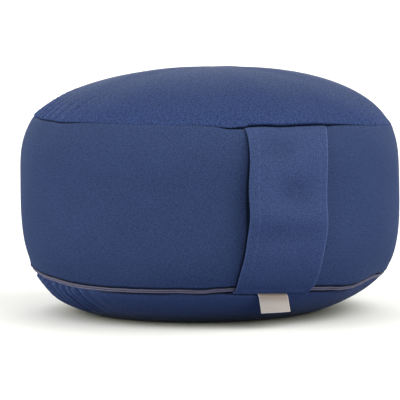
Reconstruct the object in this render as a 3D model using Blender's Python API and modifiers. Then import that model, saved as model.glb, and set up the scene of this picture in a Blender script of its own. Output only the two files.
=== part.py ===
"""Zafu meditation cushion, in metres, +Z up.

A firm round cushion of woven cotton: a side band, a top and a bottom panel eased into it with gathers,
a zip all round in the lower seam, and a wide folded cloth handle sewn into both seams, with a small
label hanging in the lower seam under it. The cushion's axis is the Z axis, the floor is z = 0 and the
handle is on the -Y side. Azimuths are counter-clockwise from the handle, seen from above.
"""

from collections import namedtuple
from math import cos, pi, radians, sin, sqrt, tau

import bmesh
import bpy
import numpy as np

MM = 0.001

# The cushion as it stands, filled
WIDEST_RADIUS = 170 * MM
HEIGHT = 217 * MM
TOP_SEAM_RADIUS = 157.3 * MM
TOP_SEAM_HEIGHT = 173.5 * MM
LOW_SEAM_RADIUS = 156 * MM
LOW_SEAM_HEIGHT = 35.3 * MM
WIDEST_HEIGHT = 124.7 * MM
CONTACT_RADIUS = 102.6 * MM
FLAT_RING = 48 * MM  # a ring of points within the flat that meets the floor

# How round each part of the outline is: the powers of its curve
CROWN_POWERS = (2.42, 0.736)
BAND_POWER_ABOVE, BAND_POWER_BELOW = 2.72, 4.67
BOWL_POWERS = (1.525, 0.796)

# The filling lies a little over to one side
LEAN_AZIMUTH = radians(67.5)
CROWN_LEAN = 6.7 * MM
BOWL_LEAN = -7.5 * MM
TOP_SEAM_DIP = 2.0 * MM
LOW_SEAM_DIP = 1.8 * MM

# Cloth and sewing
CLOTH = 2 * MM
GAP = 0.3 * MM
SEAM_SINK = 1.4 * MM
SEAM_ROLL_IN, SEAM_ROLL_UP = 0.4 * MM, 1.1 * MM  # the top panel's turned edge, in from and up from the seam
LOW_SINK = 0.8 * MM
ZIP_BAND = 4.65 * MM  # both halves of the closed zip, which show between the band and the bottom panel
ZIP_PROUD = 0.5 * MM

# Gathers: pairs of columns, a ridge and a valley, on the side away from the lean
GATHERS_FROM, GATHERS_TO = radians(-122), radians(-62)
FINE_STEP, COARSE_STEP = radians(2.5), radians(6)
GATHER_RISE = 6 * MM  # a gather is deepest this far from its seam
RIDGE_SHARE = 0.35  # how far a ridge stands proud, against how deep its valley is
TOP_GATHER_DEPTH, TOP_GATHER_SLOPE, TOP_GATHER_REACH = 1.5 * MM, radians(40), 46 * MM
LOW_GATHER_DEPTH, LOW_GATHER_SLOPE, LOW_GATHER_REACH = 2.2 * MM, radians(-35), 40 * MM

# Handle strap: a double layer of cloth that stands off the band for a hand
HANDLE_WIDTH = 73 * MM
HANDLE_THICK = 2.6 * MM
HANDLE_ENDS_CLEAR = 0.5 * MM
HANDLE_BOW = 9.5 * MM
HANDLE_TOP, HANDLE_BOTTOM = 172.6 * MM, 32 * MM
HANDLE_MIDDLE_ROUND = 300 * MM  # radius of the strap across its width, halfway down
HANDLE_ROWS, HANDLE_COLUMNS = 20, 6
Lean = namedtuple("Lean", "height aside")
HANDLE_LEAN = [  # the strap hangs a little askew
    Lean(173 * MM, 6.5 * MM),
    Lean(150 * MM, 2 * MM),
    Lean(130 * MM, 0),
    Lean(95 * MM, -1.3 * MM),
    Lean(70 * MM, -3 * MM),
    Lean(45 * MM, -6 * MM),
    Lean(30 * MM, -5 * MM),
]

# Label: a folded loop of ribbon
LABEL_WIDTH, LABEL_DROP, LABEL_THICK = 27 * MM, 17.5 * MM, 1.2 * MM
LABEL_TOP = 29.3 * MM
LABEL_ASIDE = -7.5 * MM
LABEL_TILT = radians(2)
LABEL_ROWS, LABEL_COLUMNS = 4, 4

# Where the rows of points lie along each curve, as shares of it
CROWN_ROWS = (0, 0.25, 0.45, 0.62, 0.75, 0.85, 0.92, 0.965, 0.99)
BAND_ROWS = (0.012, 0.05, 0.11, 0.2, 0.33, 0.47, 0.6, 0.72, 0.83, 0.91, 0.965, 0.988)
BOWL_ROWS = (0.17, 0.25, 0.36, 0.5, 0.65, 0.8, 0.92, 0.98, 1)

Finish = namedtuple("Finish", "colour roughness")
FINISHES = {
    "top_panel": Finish((0.058, 0.087, 0.200, 1), 0.85),
    "cushion_body": Finish((0.040, 0.062, 0.152, 1), 0.85),
    "bottom_panel": Finish((0.030, 0.045, 0.115, 1), 0.88),
    "zip_upper": Finish((0.090, 0.078, 0.105, 1), 0.5),
    "zip_lower": Finish((0.090, 0.078, 0.105, 1), 0.5),
    "handle_strap": Finish((0.050, 0.076, 0.182, 1), 0.85),
    "label": Finish((0.220, 0.185, 0.175, 1), 0.6),
}

Ring = namedtuple("Ring", "radius height pull", defaults=(0,))  # pull: how far gathers reach here, 0 to 1


# Outlines, as (radius, height) from the cushion's axis


def crown(share):
    """The top panel's outer surface, from the axis (0) to the top seam (1)."""
    fall = (1 - share ** CROWN_POWERS[0]) ** CROWN_POWERS[1]
    return share * TOP_SEAM_RADIUS, TOP_SEAM_HEIGHT + (HEIGHT - TOP_SEAM_HEIGHT) * fall


def band(share):
    """The side band, from the top seam (0) to the lower seam (1)."""
    height = TOP_SEAM_HEIGHT + (LOW_SEAM_HEIGHT - TOP_SEAM_HEIGHT) * share
    if height > WIDEST_HEIGHT:
        away = (height - WIDEST_HEIGHT) / (TOP_SEAM_HEIGHT - WIDEST_HEIGHT)
        return WIDEST_RADIUS - (WIDEST_RADIUS - TOP_SEAM_RADIUS) * away**BAND_POWER_ABOVE, height
    away = (WIDEST_HEIGHT - height) / (WIDEST_HEIGHT - LOW_SEAM_HEIGHT)
    return WIDEST_RADIUS - (WIDEST_RADIUS - LOW_SEAM_RADIUS) * away**BAND_POWER_BELOW, height


def bowl(share):
    """The bottom panel, from the lower seam (0) to the edge of the flat that meets the floor (1)."""
    tuck = (1 - share ** BOWL_POWERS[0]) ** BOWL_POWERS[1]
    return CONTACT_RADIUS + (LOW_SEAM_RADIUS - CONTACT_RADIUS) * tuck, LOW_SEAM_HEIGHT * (1 - share)


def side_radius(height):
    """The cushion's radius at a height, on the band or below it."""
    if height < LOW_SEAM_HEIGHT:
        return bowl(1 - height / LOW_SEAM_HEIGHT)[0]
    return band((TOP_SEAM_HEIGHT - height) / (TOP_SEAM_HEIGHT - LOW_SEAM_HEIGHT))[0]


def inset(points, depth):
    """The outline moved inwards by a depth, square to itself. It runs from the top outwards and down."""
    points = np.array(points)
    along = np.gradient(points, axis=0)
    outward = np.stack([-along[:, 1], along[:, 0]], axis=1)
    outward /= np.linalg.norm(outward, axis=1)[:, None]
    outward[points[:, 0] < GAP] = (0, np.sign(outward[0, 1]) or 1)
    return points - depth * outward


def gathered(points, seam, reach):
    """Rings for the outline's points, pulled most near the seam and not at all past the gathers' reach."""
    rings = []
    for radius, height in points:
        away = sqrt((radius - seam[0]) ** 2 + (height - seam[1]) ** 2)
        pull = min(away / GATHER_RISE, 1) * max(1 - away / reach, 0) ** 1.5
        rings.append(Ring(radius, height, pull))
    return rings


# Turning an outline into a solid


def column_azimuths():
    """Each column's azimuth. Columns lie closer together where the cloth is gathered."""
    azimuths = [GATHERS_FROM]
    while azimuths[-1] < GATHERS_FROM + tau - COARSE_STEP - FINE_STEP / 2:
        fine = azimuths[-1] < GATHERS_TO - FINE_STEP / 2
        azimuths.append(azimuths[-1] + (FINE_STEP if fine else COARSE_STEP))
    return np.array(azimuths)


COLUMNS = column_azimuths()
GATHER_COLUMNS = int(round((GATHERS_TO - GATHERS_FROM) / FINE_STEP))


def gather_wave(column):
    """How far a column lies in (down to -1) or stands proud, uneven from gather to gather."""
    if not 0 < column < GATHER_COLUMNS:
        return 0.0
    swell = sqrt(sin(pi * column / GATHER_COLUMNS))
    uneven = 0.75 + 0.25 * cos(2.9 * column)
    return swell * uneven * (-1 if column % 2 else RIDGE_SHARE)


def lean_of(height):
    """How far the filling pushes the cloth aside at a height, and how far the height itself dips there."""
    heights = (0, LOW_SEAM_HEIGHT, TOP_SEAM_HEIGHT, HEIGHT)
    aside = np.interp(height, heights, (BOWL_LEAN, 0, 0, CROWN_LEAN))
    dip = np.interp(height, heights, (0, LOW_SEAM_DIP, TOP_SEAM_DIP, 0))
    return aside, dip


def settle(points):
    """Moves points of the even, upright cushion to where the uneven filling holds them."""
    aside, dip = lean_of(points[:, 2])
    azimuth = np.arctan2(points[:, 0], -points[:, 1])
    moved = points.copy()
    moved[:, 0] += aside * sin(LEAN_AZIMUTH)
    moved[:, 1] -= aside * cos(LEAN_AZIMUTH)
    moved[:, 2] -= dip * np.cos(azimuth - LEAN_AZIMUTH) * (np.hypot(points[:, 0], points[:, 1]) > GAP)
    return moved


def read_points(mesh):
    points = np.empty(len(mesh.vertices) * 3, np.float32)
    mesh.vertices.foreach_get("co", points)
    return points.reshape(-1, 3).astype(float)


def write_points(mesh, points):
    mesh.vertices.foreach_set("co", points.astype(np.float32).ravel())
    mesh.update()


def turned(name, rings, closed=False, depth=0.0, slope=0.0):
    """Turns rings about Z with a Screw, then gathers the cloth and settles it. Gathers go in by depth,
    square to a surface that faces up by slope."""
    profile = bpy.data.meshes.new(name)
    edges = [(i, i + 1) for i in range(len(rings) - 1)]
    if closed:
        edges.append((len(rings) - 1, 0))
    profile.from_pydata([(0, -ring.radius, ring.height) for ring in rings], edges, [])
    pulls = profile.attributes.new("pull", "FLOAT", "POINT")
    pulls.data.foreach_set("value", [ring.pull for ring in rings])
    turning = bpy.data.objects.new(name, profile)
    PARTS.objects.link(turning)
    screw = turning.modifiers.new("turn", "SCREW")
    screw.steps = screw.render_steps = len(COLUMNS)
    screw.use_merge_vertices = True
    screw.merge_threshold = 0.00001
    bpy.context.view_layer.update()
    graph = bpy.context.evaluated_depsgraph_get()
    mesh = bpy.data.meshes.new_from_object(turning.evaluated_get(graph))
    bpy.data.objects.remove(turning)
    bpy.data.meshes.remove(profile)

    points = read_points(mesh)
    pull = np.empty(len(points), np.float32)
    mesh.attributes["pull"].data.foreach_get("value", pull)
    radius = np.hypot(points[:, 0], points[:, 1])
    even = np.arctan2(points[:, 0], -points[:, 1])
    column = np.round(even / (tau / len(COLUMNS))).astype(int) % len(COLUMNS)
    azimuth = COLUMNS[column]
    push = depth * pull * np.array([gather_wave(c) for c in column])
    radius = radius + push * cos(slope)
    height = points[:, 2] + push * sin(slope)
    write_points(mesh, settle(np.stack([radius * np.sin(azimuth), -radius * np.cos(azimuth), height], 1)))
    outward_faces(mesh)
    add_part(name, mesh)


def outward_faces(mesh):
    bm = bmesh.new()
    bm.from_mesh(mesh)
    bmesh.ops.recalc_face_normals(bm, faces=bm.faces[:])
    bm.to_mesh(mesh)
    bm.free()


def add_part(name, mesh):
    mesh.name = name
    mesh.shade_smooth()
    finish = FINISHES[name]
    made = bpy.data.materials.new(name)
    made.use_nodes = True
    shader = made.node_tree.nodes["Principled BSDF"]
    shader.inputs["Base Color"].default_value = finish.colour
    shader.inputs["Roughness"].default_value = finish.roughness
    shader.inputs["Metallic"].default_value = 0
    mesh.materials.clear()
    mesh.materials.append(made)
    part = bpy.data.objects.new(name, mesh)
    PARTS.objects.link(part)
    return part


# The pieces


def top_panel():
    """A cloth sheet over the crown, its raw edge turned down into the top seam."""
    outer = [crown(share) for share in CROWN_ROWS]
    rim = TOP_SEAM_HEIGHT + GAP / 2
    tuck = TOP_SEAM_RADIUS - SEAM_SINK
    roll = Ring(TOP_SEAM_RADIUS - SEAM_ROLL_IN, rim + SEAM_ROLL_UP)
    rings = gathered(outer, crown(1), TOP_GATHER_REACH) + [roll, Ring(tuck, rim), Ring(tuck - CLOTH, rim)]
    rings += [Ring(*point) for point in inset(outer, CLOTH)[::-1]]
    turned("top_panel", rings, depth=TOP_GATHER_DEPTH, slope=TOP_GATHER_SLOPE)


def cushion_body():
    """The filled cushion: the side band shows, the rest lies just inside the panels and the zip."""
    top_edge = TOP_SEAM_HEIGHT - GAP / 2
    low_edge = LOW_SEAM_HEIGHT + GAP / 2
    under_crown = inset([crown(share) for share in CROWN_ROWS], CLOTH + GAP)
    above_bowl = inset([bowl(share) for share in BOWL_ROWS], CLOTH + GAP)
    ledge = TOP_SEAM_RADIUS - SEAM_SINK - CLOTH - GAP
    rings = [Ring(*point) for point in under_crown[::2]]
    rings += [Ring(ledge, top_edge), Ring(TOP_SEAM_RADIUS - SEAM_SINK, top_edge)]
    rings += [Ring(*band(share)) for share in BAND_ROWS]
    rings += [
        Ring(LOW_SEAM_RADIUS - LOW_SINK, low_edge),
        Ring(LOW_SEAM_RADIUS - CLOTH - GAP, low_edge),
        Ring(side_radius(LOW_SEAM_HEIGHT - ZIP_BAND) - LOW_SINK - CLOTH - GAP, low_edge - ZIP_BAND - GAP),
    ]
    rings += [Ring(*point) for point in above_bowl[2::2]]
    rings += [Ring(0, CLOTH + GAP)]
    turned("cushion_body", rings)


def bottom_panel():
    """A cloth sheet from the zip round to the flat that rests on the floor."""
    outer = [bowl(share) for share in BOWL_ROWS]
    rim = LOW_SEAM_HEIGHT - ZIP_BAND - GAP
    tuck = side_radius(rim) - LOW_SINK
    rings = [Ring(0, CLOTH), Ring(FLAT_RING, CLOTH)]
    rings += [Ring(*point) for point in inset(outer, CLOTH)[::-1]]
    rings += [Ring(tuck - CLOTH, rim), Ring(tuck, rim)]
    rings += gathered(outer, (tuck, rim), LOW_GATHER_REACH)
    rings += [Ring(FLAT_RING, 0), Ring(0, 0)]
    turned("bottom_panel", rings, depth=LOW_GATHER_DEPTH, slope=LOW_GATHER_SLOPE)


def zip_half(name, top, bottom):
    """One half of the closed zip: its tape's edge, with the coil as a low ridge."""
    middle = (top + bottom) / 2
    rings = [
        Ring(side_radius(top) - CLOTH, top),
        Ring(side_radius(top), top),
        Ring(side_radius(middle) + ZIP_PROUD, middle),
        Ring(side_radius(bottom), bottom),
        Ring(side_radius(bottom) - CLOTH, bottom),
    ]
    turned(name, rings, closed=True)


def zip_halves():
    top = LOW_SEAM_HEIGHT - GAP / 2
    half = (ZIP_BAND - GAP) / 2
    zip_half("zip_upper", top, top - half)
    zip_half("zip_lower", top - half - GAP, top - 2 * half - GAP)


def handle_point(across, down):
    """A point of the strap's inner face, across its width (-0.5 to 0.5) and down its length (0 to 1)."""
    height = HANDLE_TOP + (HANDLE_BOTTOM - HANDLE_TOP) * down
    bow = sin(pi * down)
    aside = np.interp(-height, [-row.height for row in HANDLE_LEAN], [row.aside for row in HANDLE_LEAN])
    x = aside + across * HANDLE_WIDTH
    stand = side_radius(height) + HANDLE_ENDS_CLEAR + HANDLE_BOW * bow
    hollow = 1 / TOP_SEAM_RADIUS + (1 / HANDLE_MIDDLE_ROUND - 1 / TOP_SEAM_RADIUS) * bow
    return settle(np.array([[x, hollow * x * x / 2 - stand, height]]))[0]


def laid_sheet(name, rows, columns, place, thick):
    """A grid of cloth laid by place(across, down) and thickened outwards."""
    bm = bmesh.new()
    bmesh.ops.create_grid(bm, x_segments=columns, y_segments=rows, size=0.5)
    for vertex in bm.verts:
        vertex.co = place(vertex.co.x, 0.5 - vertex.co.y)
    mesh = bpy.data.meshes.new(name)
    bm.to_mesh(mesh)
    bm.free()
    part = add_part(name, mesh)
    shell = part.modifiers.new("thickness", "SOLIDIFY")
    shell.thickness = thick
    shell.offset = 1
    shell.use_even_offset = True


def handle_strap():
    laid_sheet("handle_strap", HANDLE_ROWS, HANDLE_COLUMNS, handle_point, HANDLE_THICK)


def label_point(across, down):
    """A point of the label's back, which hangs from the lower seam under the strap."""
    x = across * LABEL_WIDTH
    drop = down * LABEL_DROP
    y = -(LOW_SEAM_RADIUS + GAP) + (x + LABEL_ASIDE) ** 2 / (2 * LOW_SEAM_RADIUS)
    return LABEL_ASIDE + x - drop * sin(LABEL_TILT), y, LABEL_TOP - drop - x * sin(LABEL_TILT)


def label():
    laid_sheet("label", LABEL_ROWS, LABEL_COLUMNS, label_point, LABEL_THICK)


def clear_scene():
    for item in list(bpy.data.objects):
        bpy.data.objects.remove(item)


clear_scene()
PARTS = bpy.data.collections.new("zafu_cushion")
bpy.context.scene.collection.children.link(PARTS)

top_panel()
cushion_body()
bottom_panel()
zip_halves()
handle_strap()
label()
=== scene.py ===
"""The looks of a zafu meditation cushion, laid out as a Blender add-on.

A firm round cushion of plain-woven blue cotton, as it stands filled: a side band, gathered top and bottom
panels, a closed zip all round in the lower seam, a wide folded cloth handle sewn into both seams, and a
small folded ribbon label under it. All is in metres, +Z up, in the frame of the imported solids. The handle
is on the -Y side. Azimuths are counter-clockwise from the handle, seen from above.
"""

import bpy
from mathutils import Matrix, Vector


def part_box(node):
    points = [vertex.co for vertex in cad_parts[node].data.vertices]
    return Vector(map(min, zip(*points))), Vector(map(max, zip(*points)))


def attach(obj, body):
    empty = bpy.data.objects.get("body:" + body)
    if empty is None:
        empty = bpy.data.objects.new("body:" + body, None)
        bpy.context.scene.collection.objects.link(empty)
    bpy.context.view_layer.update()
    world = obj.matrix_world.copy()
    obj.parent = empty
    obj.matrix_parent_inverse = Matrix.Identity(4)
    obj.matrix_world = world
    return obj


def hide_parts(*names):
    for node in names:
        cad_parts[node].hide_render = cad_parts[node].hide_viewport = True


bl_info = {
    "name": "Zafu cushion",
    "version": (1, 0, 0),
    "blender": (4, 5, 0),
    "location": "3D View > Sidebar > Zafu",
    "description": "Makes a round floor cushion with gathered panels, a zip, a cloth handle and a label",
    "category": "Add Mesh",
}

from collections import namedtuple
from math import cos, pi, radians, sin, tau

import bmesh
import bpy
import numpy as np
from bpy.props import FloatProperty, FloatVectorProperty, IntProperty, PointerProperty
from mathutils import Matrix, Vector

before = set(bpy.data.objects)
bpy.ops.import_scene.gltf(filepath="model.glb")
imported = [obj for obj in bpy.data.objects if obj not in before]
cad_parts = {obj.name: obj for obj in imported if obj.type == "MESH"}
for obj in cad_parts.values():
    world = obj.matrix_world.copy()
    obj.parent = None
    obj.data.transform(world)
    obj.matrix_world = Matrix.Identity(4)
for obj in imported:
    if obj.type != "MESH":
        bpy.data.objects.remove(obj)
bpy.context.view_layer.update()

MM = 0.001
TOP_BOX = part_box("top_panel")
LABEL_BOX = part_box("label")

# The cushion's outline: heights and radii on the even, upright cushion
HEIGHT = TOP_BOX[1].z
TOP_SEAM_HEIGHT, LOW_SEAM_HEIGHT, WIDEST_HEIGHT = 173.5 * MM, 35.3 * MM, 124.7 * MM
TOP_SEAM_RADIUS, LOW_SEAM_RADIUS, CONTACT_RADIUS = 157.3 * MM, 156 * MM, 102.6 * MM
CROWN_POWERS, BOWL_POWERS = (2.42, 0.736), (1.525, 0.796)
BAND_POWER_ABOVE, BAND_POWER_BELOW = 2.72, 4.67

# The filling lies a little over to one side
LEAN_AZIMUTH = radians(67.5)
CROWN_LEAN, BOWL_LEAN = 6.7 * MM, -7.5 * MM
TOP_SEAM_DIP, LOW_SEAM_DIP = 2.0 * MM, 1.8 * MM

ON_AXIS, MERGED = 1e-6, 1e-7  # points nearer than this are on the axis, or the same
Wave = namedtuple("Wave", "size count phase")  # small unevenness that comes and goes. size: in mm

CLOTH = 1.2 * MM
UNDER_CLOTH = 2.3 * MM  # the filled body lies this far under the panels
SEAM_TURN = 3 * MM  # how far a turned-in edge runs back into its seam
FOLD_ROUND = 0.9 * MM  # radius of a folded edge
LIFT_REACH = 12 * MM  # how far from a seam its unevenness pulls the cloth along
TOP_SLOPE = 0.62  # the outline's way out for each step down at the top seam
SLOT_REACH = 3 * MM  # how far from an open seam its cloth lies apart
CORNER_REACH = 8 * MM  # how far from a top seam that stands out its cloth goes with it
FLARE_REACH = 9 * MM  # how far up from the zip the band stands out with its edge
TUCK_REACH = 0.9 * MM  # how far down from the handle the bottom panel turns in with its edge
ZIP_FLARE_SHARES, LOW_FLARE_SHARE = (1.0, 0.9), 0.61  # of it that the zip's halves and the bottom panel take

# Zip: from the band's folded edge down to the bottom panel's
ZIP_DROP = 4.9 * MM
ZIP_TOP_GAP, ZIP_MIDDLE_GAP, ZIP_LOW_GAP = 1.4 * MM, 0.35 * MM, 0.45 * MM
ZIP_PROUD, ZIP_DEEP, ZIP_RECESS = 0.9 * MM, 2.5 * MM, 1.7 * MM
ZIP_FRONT_POINTS, ZIP_ROUNDING, ZIP_EDGE_BACK = 9, 0.7, 0.4
ZIP_OUT_WAVES, ZIP_RISE_WAVES = (Wave(0.12, 7, 0), Wave(0.08, 31, 0)), (Wave(0.1, 17, 0),)

# The top seam all round, in mm. lift: above the even seam. depth: of the groove. lip: how far the panel
# stands out over the seam. slot: how far the seam gapes over the handle. out: how far all of it stands out
TopSeam = namedtuple("TopSeam", "azimuth lift depth lip slot out", defaults=(0, 0, 0))
TOP_SEAM = [TopSeam(*row) for row in (
    (-160, 0.5, 1.0, 0, 0, 0.4), (-125, 0, 0.7, 0, 0, 0.3), (-106, 0.2, 0.7, 0, 0, 0.2),
    (-98, 0.3, 1.1, 0, 0, 0.2), (-91, -0.1, 1.4, 0.1, 0.1, 0.1), (-84, -0.35, 1.6, 0.2, 0.15),
    (-77.5, -0.9, 1.5, 0.2, 0.15), (-72, -0.45, 1.3, 0.1, 0.1), (-67, 0.25, 0.7),
    (-59, 0.5, 0.3), (-51, 0.4, 0.15), (-40, 0.5, 0.1),
    (-27, 0.6, 0.15), (-21.5, 0, 0.4), (-16.3, -1.95, 1.4, 0.3, 0.2),
    (-12, -1.5, 2.3, 0.9, 0.6), (-9.8, -0.6, 4.0, 2.0, 0.9), (-6, -0.25, 4.5, 2.4, 1),
    (0, -1.0, 4.5, 2.4, 1), (8, -0.55, 4.5, 2.4, 1), (13, -0.45, 4.0, 2.0, 0.9),
    (17, -0.7, 2.4, 1.2, 0.6), (21, -0.8, 1.5, 0.5, 0.3), (25.6, -1.15, 1.1, 0.2, 0.1),
    (31, -2.1, 0.6), (37, -3.3, 0.3, 0, 0, 0.3), (45, -4.4, 0.25, 0, 0, 1.1),
    (56, -5.6, 0.25, 0, 0, 1.9), (66, -7.2, 0.4, 0, 0, 2.6), (85, -6.0, 0.6, 0, 0, 2.2),
    (110, -3.0, 0.8, 0, 0, 0.8), (135, 0.3, 1.1), (170, -0.2, 1.3),
)]
TOP_GROOVE_WIDTH = 0.6 * MM
TOP_GROOVE_PAINTED_SHADE, TOP_GROOVE_SHADE_DEPTH = 0.66, 1.9  # painted shade in the groove: as dark as this where it is this deep, in mm

# The zip's seam all round, in mm. lift: of the band's folded edge. shadow: how open the gap under the zip is,
# and how much painted shade lies in it, 0 to 1.
# cover: how far the bottom panel's edge laps up over the zip. flare: how far the band's edge stands out.
# tuck: how far the bottom panel's edge turns in under the handle
LowSeam = namedtuple("LowSeam", "azimuth lift shadow cover flare tuck", defaults=(0, 0))
LOW_SEAM = [LowSeam(*row) for row in (
    (-150, -0.5, 0.5, 0, 3), (-120, 3.0, 0, 0, 5.8), (-105, 4.3, 0, 0, 6.3),
    (-97, 3.9, 0, 0, 5.2), (-91, 2.5, 0, 0, 4.1), (-84.5, 1.7, 0, 0, 3),
    (-78.5, 0.5, 0, 0, 2), (-73, -0.5, 0, 0, 1.2), (-64.5, -0.95, 0.3, 0, 0.3),
    (-57, -1.2, 0.8, -0.2), (-50, -0.7, 1, -0.3), (-39, -0.3, 1, -0.3),
    (-32, 0.3, 0.8, -0.3), (-25.5, 0.1, 1, -0.4, 0, 0.5), (-19, 1.4, 1, -1.0, 0, 1.5),
    (-15, 2.0, 1, -2.4, 0, 3.0), (-4, 1.3, 1, -2.4, 0, 3.0), (3, 0.8, 1, -0.7, 0, 1.5),
    (12.5, -0.1, 1, -0.6), (18.3, -1.1, 1, -0.6), (26.3, -3.0, 0.9, -0.2),
    (32.4, -2.9, 0.4, 0.6), (36.5, -0.9, 0.2, 1.2, 0.3), (41, 1.0, 0.2, 1.4, 0.6),
    (46.5, 2.2, 0.2, 1.2, 1.2), (53, 1.4, 0.2, 1.2, 2.0), (66, 1.2, 0.4, 0.8, 3.0),
    (80, 0.4, 0.6, 0.4, 2.5), (120, 0.3, 0.8, 0, 2), (165, -0.4, 0.7, 0, 2.5),
)]

LOW_EDGE_PAINTED_SHADE = 0.9  # painted shade: the band's edge over the zip is painted as dark as this
LOW_PAINTED_SHADE_WIDTH, LOW_PAINTED_SHADE_WIDENS = 1.0 * MM, 0.2  # of that painted dark line, and mm more for each mm of flare
SHADOW_TUCK, SHADOW_TUCK_REACH, SHADOW_WIDTH = 1.1 * MM, 2.5 * MM, 1.1 * MM  # of the gap under the zip: the panel's edge tucked in where it is shut, and the width of the painted shade in it
COVER_REACH = 8 * MM

# Gathers that show from the handle's left. azimuth: at the seam, in degrees. swing: degrees gained by the
# gather's far end. reach: from the seam. rise: the ridge's height. sink: the trough's depth beside it.
# beside: degrees from the ridge to the trough. broad: how wide both are, against the finest
Gather = namedtuple("Gather", "azimuth swing reach rise sink beside broad", defaults=(1,))
TOP_GATHERS = [Gather(*row) for row in (
    (-121, -4, 46, 1.2, 1.2, 4, 1.4), (-113, -8, 48, 1.0, 1.0, 3.5, 1.1), (-107, -9.8, 54, 1.3, 1.2, 3, 1.1),
    (-102.5, -8, 50, 1.0, 1.0, 2.2), (-98.5, -6, 48, 1.2, 1.0, 2.2), (-94, -3, 44, 1.1, 1.0, 2.4),
    (-89, -1.5, 34, 1.0, 1.0, 2.6), (-83.5, 0.5, 38, 0.9, 0.7, 2.6), (-77, 0, 42, 0.9, 0.7, 2.6),
    (-69.5, 0.5, 20, 0.5, 0.5, 2.6), (-62, 0, 14, 0.3, 0.35, 2.6), (31.5, -5, 17, 0.33, 0.42, 2.4, 1.5),
    (37, -5, 13, 0.18, 0.24, 2.4, 1.4),
)]
LOW_GATHERS = [Gather(*row) for row in (
    (-105, -2, 38, 1.2, 1.8, 2.6), (-100, -1, 40, 1.4, 2.0, 2.5), (-95.5, 0, 42, 1.6, 2.2, 2.4),
    (-90.8, 1.8, 44, 1.6, 2.3, 2.6), (-84.8, 3.8, 48, 1.8, 2.5, 2.2), (-80.5, 3.5, 48, 1.8, 2.4, 1.9),
    (-76.8, 6.8, 46, 1.6, 2.2, 1.8), (-73.5, 5.7, 42, 1.5, 2.0, 2.1), (-69.2, 6.4, 36, 1.1, 1.5, 2.4),
    (-64, 6, 24, 0.6, 0.9, 2.6),
)]
RIDGE_WIDTH, TROUGH_WIDTH = 0.66 * MM, 1.9 * MM
GATHER_START, GATHER_FADE, GATHER_END = 1.6 * MM, 0.7, 3  # it ends over the last third of its reach
GATHER_BROAD, GATHER_BROADENS = 0.85, 0.5  # at the seam, and more towards its far end
BackGathers = namedtuple("BackGathers", "first last step reach rise sink broad")  # the run that doesn't show
TOP_BACK = BackGathers(-234, -128, 6.2, 34, 0.7, 0.9, 1.5)
LOW_BACK = BackGathers(-236, -110, 5.2, 34, 0.8, 1.2, 1.4)
BACK_SIZES, BACK_SWINGS, BACK_REACHES, BACK_STEPS = (0.35, 1), (-2.5, 2.5), (0.6, 1.2), (0.75, 1.3)

# Columns of points stand closer together where there are gathers
Crowding = namedtuple("Crowding", "first last times")
CROWDED = [Crowding(-126, -60, 4.5), Crowding(-238, -126, 1.8), Crowding(27, 42, 3), Crowding(-16.5, -8.5, 5)]
CROWD_SAMPLES, CROWD_EASE = 7201, 8  # all round, and degrees over which the crowding sets in

# Where the filling swells the cushion past its even outline, in mm: about an azimuth, over a spread
Swell = namedtuple("Swell", "azimuth spread out")
CROWN_SWELLS = [Swell(-110, 34, 1.4), Swell(67, 30, 0.5)]
BAND_SWELLS = [Swell(67, 30, 1.0)]
BOWL_SWELLS = [Swell(-112, 26, 1.3)]
SHOULDER_SWELLS = [Swell(-110, 34, -0.8), Swell(67, 30, 1.1)]  # of the top panel beside its seam
SHOULDER_REACH, CROWN_SWELL_START = 12 * MM, 120 * MM
FLOOR_SHADE = 10.5 * MM  # painted shade: the bottom panel is painted darker towards the floor, below this height
FLOOR_RISE, FLOOR_PULL = 6 * MM, 20 * MM  # below these, folds and the seam's pull die out towards the floor
FLAT_RINGS = (0.97, 0.9, 0.75, 0.55, 0.3, 0)  # of points on the flat, as shares of its radius
UNDER_TOP_FROM, UNDER_TOP_ROWS = 0.02, 16  # of the filled body under the top panel, as a share of its length
UNDER_FOOT_FROM, UNDER_FOOT_ROWS = 0.2, 12
CROWN_RISE, MIDDLE_RISE, MIDDLE_SPREAD = 0.3 * MM, 1.0 * MM, 60 * MM
CROWN_RISE_START, LIP_REACH, LIP_POWER = 45 * MM, 12 * MM, 1.5

# Slow lumps of loose filling, as waves round and up the cushion
Lump = namedtuple("Lump", "round up phase size")
LUMPS = [Lump(5, 1.3, 0.4, 1), Lump(8, -2.1, 2.0, 0.8), Lump(13, 2.9, 4.1, 0.6)]
LUMP_SIZE, LUMP_START, LUMP_MIDDLE = 0.35 * MM, 20 * MM, 60 * MM  # level near seams and the top's middle

# Ripples that stitches pull into the cloth beside a seam
PUCKER_WAVES = (71, 97, 118, 143, 167)  # of them all round
PUCKER_SIZE, ZIP_PUCKER_SIZE = 0.22 * MM, 0.12 * MM
PUCKER_START, PUCKER_REACH = 0.8 * MM, 6 * MM
SEEDS = {"band top": 11, "band low": 12, "top back": 21, "top panel": 22, "low back": 31, "bottom panel": 32}

# Paler cloth, worn at seams' edges and with painted light on the top panel's shoulder: how pale at a seam,
# and how far from it that reaches
Paling = namedtuple("Paling", "share reach")
BAND_TOP_WEAR, BAND_LOW_WEAR = Paling(0.15, 1.2 * MM), Paling(0.2, 1.0 * MM)
TOP_EDGE_WEAR, TOP_SHOULDER_LIGHT = Paling(0.1, 1.2 * MM), Paling(0.2, 20 * MM)
TOP_RIDGE_HIGHLIGHT, TOP_RIDGE_POWER, LOW_RIDGE_POWER = 2.1, 1.8, 1.6  # painted highlight on the gathers' ridges, by their height
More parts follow.
